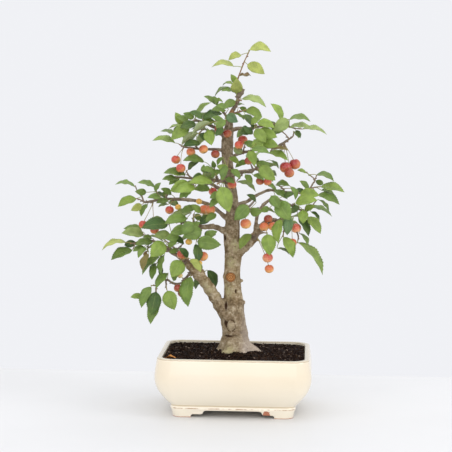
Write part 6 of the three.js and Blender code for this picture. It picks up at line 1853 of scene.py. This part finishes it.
def make_fallen_leaf():
    """The dry, curled leaf on the soil."""
    base, tip = np.array(FALLEN["base"], float), np.array(FALLEN["tip"], float)
    length = np.linalg.norm(tip - base)
    axis = (tip - base) / length
    blade = new_blade(base, axis, length, FALLEN["width"], unit(UP - axis * axis[2]), FALLEN["arch"])
    under = on_blade(blade, SAMPLES[:, 0], SAMPLES[:, 1])
    lift = (soil_height(under[:, 0], under[:, 1]) - under[:, 2]).max() + CLEARANCE + LEAF["rib_half"]
    blade["base"] = base + UP * lift
    form = leaf_form(24)
    t, s = form["along"], form["across"] * form["half"] * 1.1
    rise = 1.4 * s * s * (1 + 0.5 * np.sin(7 * t)) + 0.5 * np.sin(8 * t) * s + form["side"] * 0.16
    leaf = Gathered(())
    uv = np.column_stack((0.5 + form["across"] / 2, t))
    leaf.add(metres(on_blade(blade, t, s, rise)), form["faces"], 0, uv)
    behind = (4.0, 3.0, 2.0, 1.0, 0.0, -3.0, -7.0, -11.0)
    stalk = np.vstack([blade["base"] - axis * k + UP * 0.15 * k for k in behind])
    widths = np.array((0.4, 0.4, 0.42, 0.45, 0.5, 0.4, 0.3, 0.15))
    leaf.add(*tube_form(metres(stalk), widths * MM, 5), 0)
    seat(leaf.make("curled_leaf", [dry_leaf_finish()]), "fallen_leaf", "dry_leaf")


def make_drain_meshes():
    """Gives the plastic meshes over the drain holes their finish."""
    finish = plastic_mesh_finish()
    for node in ("drain_mesh_left", "drain_mesh_right"):
        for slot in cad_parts[node].material_slots:
            slot.material = finish


# ---- stage ----

# Sizes and places of the stage are in metres.
TABLE = {"width": 4.4, "depth": 3.2, "thickness": 0.03, "edge": 0.004}
AIM = Vector((0, 0, 0.25))  # what the lamps look at
# Each lamp's name, place, size, setting for its power, and spread in degrees.
LAMPS = (
    ("window", (-1.5, -1.7, 1.9), 2.6, "key_light", 120),
    ("soft_right", (1.9, -0.9, 1.2), 1.0, "fill_light", 180),
    ("overhead", (0.1, 0.5, 2.3), 2.6, "top_light", 180),
    ("front", (0.2, -2.6, 1.0), 1.8, "front_light", 110),
)


def make_stage(settings):
    """Camera, table, soft lights and a pale surround."""
    view = Vector(grown((EYE["x"], -EYE["distance"], EYE["height"])))
    camera = added(bpy.ops.object.camera_add, location=view)
    camera.name = "camera"
    camera.data.lens = settings.lens
    camera.data.sensor_width = 36
    camera.data.clip_start = 0.05
    turn = Matrix.Rotation(TREE_TURN, 4, "Z") @ Matrix.Rotation(math.pi / 2 - settings.tilt, 4, "X")
    turn = turn @ Matrix.Rotation(settings.roll, 4, "Z")
    camera.matrix_world = Matrix.Translation(view) @ turn
    bpy.context.scene.camera = camera
    middle = (CENTRE.x, CENTRE.y + settings.table_back - TABLE["depth"] / 2, 0)
    table = added(bpy.ops.mesh.primitive_plane_add, size=1, location=middle)
    table.scale = (TABLE["width"], TABLE["depth"], 1)
    settle(table, "table")
    pick(table)
    bpy.ops.object.mode_set(mode="EDIT")
    bpy.ops.mesh.select_all(action="SELECT")
    bpy.ops.mesh.extrude_region_move(TRANSFORM_OT_translate={"value": (0, 0, -TABLE["thickness"])})
    close_form()
    finish_with_modifier(table, "BEVEL", width=TABLE["edge"], segments=3)
    table.data.materials.append(floor_finish(settings))
    table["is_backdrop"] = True
    for name, place, size, power, spread in LAMPS:
        lamp = added(bpy.ops.object.light_add, type="AREA", location=CENTRE + Vector(place))
        lamp.name = name
        lamp.data.size = size
        lamp.data.energy = getattr(settings, power)
        lamp.data.spread = math.radians(spread)
        lamp.rotation_euler = (CENTRE + AIM - lamp.location).to_track_quat("-Z", "Y").to_euler()
    world = bpy.data.worlds.new("pale_surround")
    world.use_nodes = True
    background = world.node_tree.nodes["Background"]
    background.inputs[0].default_value = (*settings.surround, 1)
    background.inputs[1].default_value = settings.surround_strength
    bpy.context.scene.world = world
    bpy.context.scene.view_settings.view_transform = "Standard"


# ---- settings, operators and panel ----


def tone(name, text, description):
    """A colour that a user can change."""
    return FloatVectorProperty(
        name=name, description=description, subtype="COLOR", size=3, min=0, max=1, default=linear(text),
    )


def size(name, default, description):
    """A length that a user can change."""
    return FloatProperty(
        name=name, description=description, default=default, unit="LENGTH", subtype="DISTANCE",
    )


def angle(name, degrees, description):
    """An angle that a user can change."""
    return FloatProperty(
        name=name, description=description, default=math.radians(degrees), unit="ROTATION", subtype="ANGLE",
    )


def amount(name, default, description):
    """A strength that a user can change."""
    return FloatProperty(name=name, description=description, default=default, min=0)


class StageSettings(bpy.types.PropertyGroup):
    """Camera, table and lights"""

    lens: FloatProperty(name="Lens", description="Focal length", default=126.59, unit="CAMERA")
    tilt: angle("Tilt", 4.89, "Downward tilt")
    roll: angle("Roll", 0.6, "Turn about the line of sight")
    table_back: size("Table Back", 0.31, "Far edge of the table behind the pot's middle")
    floor: tone("Table", "#dcdcdc", "Colour of the table top")
    surround: tone("Surround", "#f3f4f8", "Colour of the air around the tree")
    surround_strength: amount("Surround Light", 0.975, "Strength of the surround")
    key_light: amount("Window", 8.2, "Power of the window light")
    fill_light: amount("Fill", 11, "Power of the light from the right")
    top_light: amount("Overhead", 19, "Power of the light from above")
    front_light: amount("Front", 5.2, "Power of the light from the front")


class PotSettings(bpy.types.PropertyGroup):
    """The glazed pot"""

    glaze: tone("Glaze", "#eaddc7", "Colour of the glaze")
    glaze_shade: tone("Glaze Shade", "#e7d9c0", "Colour of the glaze where it runs thick")
    edge_round: size("Edge Rounding", 0.0008, "Radius of the worn edges")


class SoilSettings(bpy.types.PropertyGroup):
    """Soil and its loose crumbs"""

    dark: tone("Dark Crumbs", "#1c0f0a", "Colour of damp soil")
    light: tone("Light Crumbs", "#2e1c13", "Colour of dry soil")
    crumbs: IntProperty(name="Crumbs", description="Number of loose crumbs", default=2600, min=0, max=4000)
    straws: IntProperty(name="Fine Roots", description="Number of fine roots", default=26, min=0, max=80)


class BarkSettings(bpy.types.PropertyGroup):
    """Trunk and limbs"""

    bark: tone("Bark", "#8a7859", "Main colour of the bark")
    shade: tone("Bark Shade", "#5c4b38", "Colour of the bark in its hollows")
    voxel: size("Detail", 0.0011, "Smallest form of the joined wood")


class FoliageSettings(bpy.types.PropertyGroup):
    """Leaves and shoots"""

    leaf_rows: IntProperty(name="Rows of Teeth", description="Steps along a blade", default=28, min=8, max=60)
    thickness: size("Leaf Thickness", 0.0004, "Thickness of a blade at its midrib")
    wave: size("Wave", 0.0008, "Height of the waves along a blade's margin")
    sunlit: tone("Sunlit", "#a3b058", "Colour that young tissue leans to")
    underside: tone("Underside", "#a7b487", "Colour that the underside leans to")


class BONSAI_OT_stage(bpy.types.Operator):
    """Set the camera, the table and the lights"""

    bl_idname = "bonsai.stage"
    bl_label = "Stage"

    def execute(self, context):
        make_stage(context.scene.bonsai_stage)
        return {"FINISHED"}


class BONSAI_OT_pot(bpy.types.Operator):
    """Add the glazed pot"""

    bl_idname = "bonsai.pot"
    bl_label = "Glazed Pot"

    def execute(self, context):
        make_pot(context.scene.bonsai_pot)
        return {"FINISHED"}


class BONSAI_OT_drain_meshes(bpy.types.Operator):
    """Finish the plastic meshes over the drain holes"""

    bl_idname = "bonsai.drain_meshes"
    bl_label = "Drain Meshes"

    def execute(self, context):
        make_drain_meshes()
        return {"FINISHED"}


class BONSAI_OT_soil(bpy.types.Operator):
    """Add the soil with its crumbs"""

    bl_idname = "bonsai.soil"
    bl_label = "Soil"

    def execute(self, context):
        make_soil(context.scene.bonsai_soil)
        return {"FINISHED"}


class BONSAI_OT_wood(bpy.types.Operator):
    """Add the trunk and its limbs"""

    bl_idname = "bonsai.wood"
    bl_label = "Trunk and Limbs"

    def execute(self, context):
        make_wood(context.scene.bonsai_bark)
        return {"FINISHED"}


class BONSAI_OT_shoots(bpy.types.Operator):
    """Add every leafy shoot"""

    bl_idname = "bonsai.shoots"
    bl_label = "Leafy Shoots"

    def execute(self, context):
        make_shoots(context.scene.bonsai_foliage)
        return {"FINISHED"}


class BONSAI_OT_fruit(bpy.types.Operator):
    """Add every bunch of crabapples"""

    bl_idname = "bonsai.fruit"
    bl_label = "Crabapples"

    def execute(self, context):
        make_fruit()
        return {"FINISHED"}


class BONSAI_OT_fallen_leaf(bpy.types.Operator):
    """Add the dry leaf on the soil"""

    bl_idname = "bonsai.fallen_leaf"
    bl_label = "Fallen Leaf"

    def execute(self, context):
        make_fallen_leaf()
        return {"FINISHED"}


STEPS = (
    BONSAI_OT_stage, BONSAI_OT_pot, BONSAI_OT_drain_meshes, BONSAI_OT_soil, BONSAI_OT_wood, BONSAI_OT_shoots,
    BONSAI_OT_fruit, BONSAI_OT_fallen_leaf,
)
SETTINGS = {
    "bonsai_stage": StageSettings, "bonsai_pot": PotSettings, "bonsai_soil": SoilSettings,
    "bonsai_bark": BarkSettings, "bonsai_foliage": FoliageSettings,
}


class BONSAI_PT_panel(bpy.types.Panel):
    """Lists the steps and sizes of the bonsai"""

    bl_idname = "BONSAI_PT_panel"
    bl_label = "Crabapple Bonsai"
    bl_space_type = "VIEW_3D"
    bl_region_type = "UI"
    bl_category = "Bonsai"

    def draw(self, context):
        for step in STEPS:
            self.layout.operator(step.bl_idname)
        for name, group in SETTINGS.items():
            box = self.layout.box()
            box.label(text=group.__doc__)
            for key in group.__annotations__:
                box.prop(getattr(context.scene, name), key)


def register():
    for group in (*SETTINGS.values(), *STEPS, BONSAI_PT_panel):
        bpy.utils.register_class(group)
    for name, group in SETTINGS.items():
        setattr(bpy.types.Scene, name, PointerProperty(type=group))


def unregister():
    for name in SETTINGS:
        delattr(bpy.types.Scene, name)
    for group in reversed((*SETTINGS.values(), *STEPS, BONSAI_PT_panel)):
        bpy.utils.unregister_class(group)


def main():
    register()
    bpy.ops.bonsai.stage()
    bpy.ops.bonsai.pot()
    bpy.ops.bonsai.drain_meshes()
    bpy.ops.bonsai.soil()
    bpy.ops.bonsai.wood()
    bpy.ops.bonsai.shoots()
    bpy.ops.bonsai.fruit()
    bpy.ops.bonsai.fallen_leaf()
    boxes = {"cad": CAD_BOX, "visual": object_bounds()}
    boxes = {key: [[float(v) for v in corner] for corner in value] for key, value in boxes.items()}


if __name__ == "__main__":
    main()
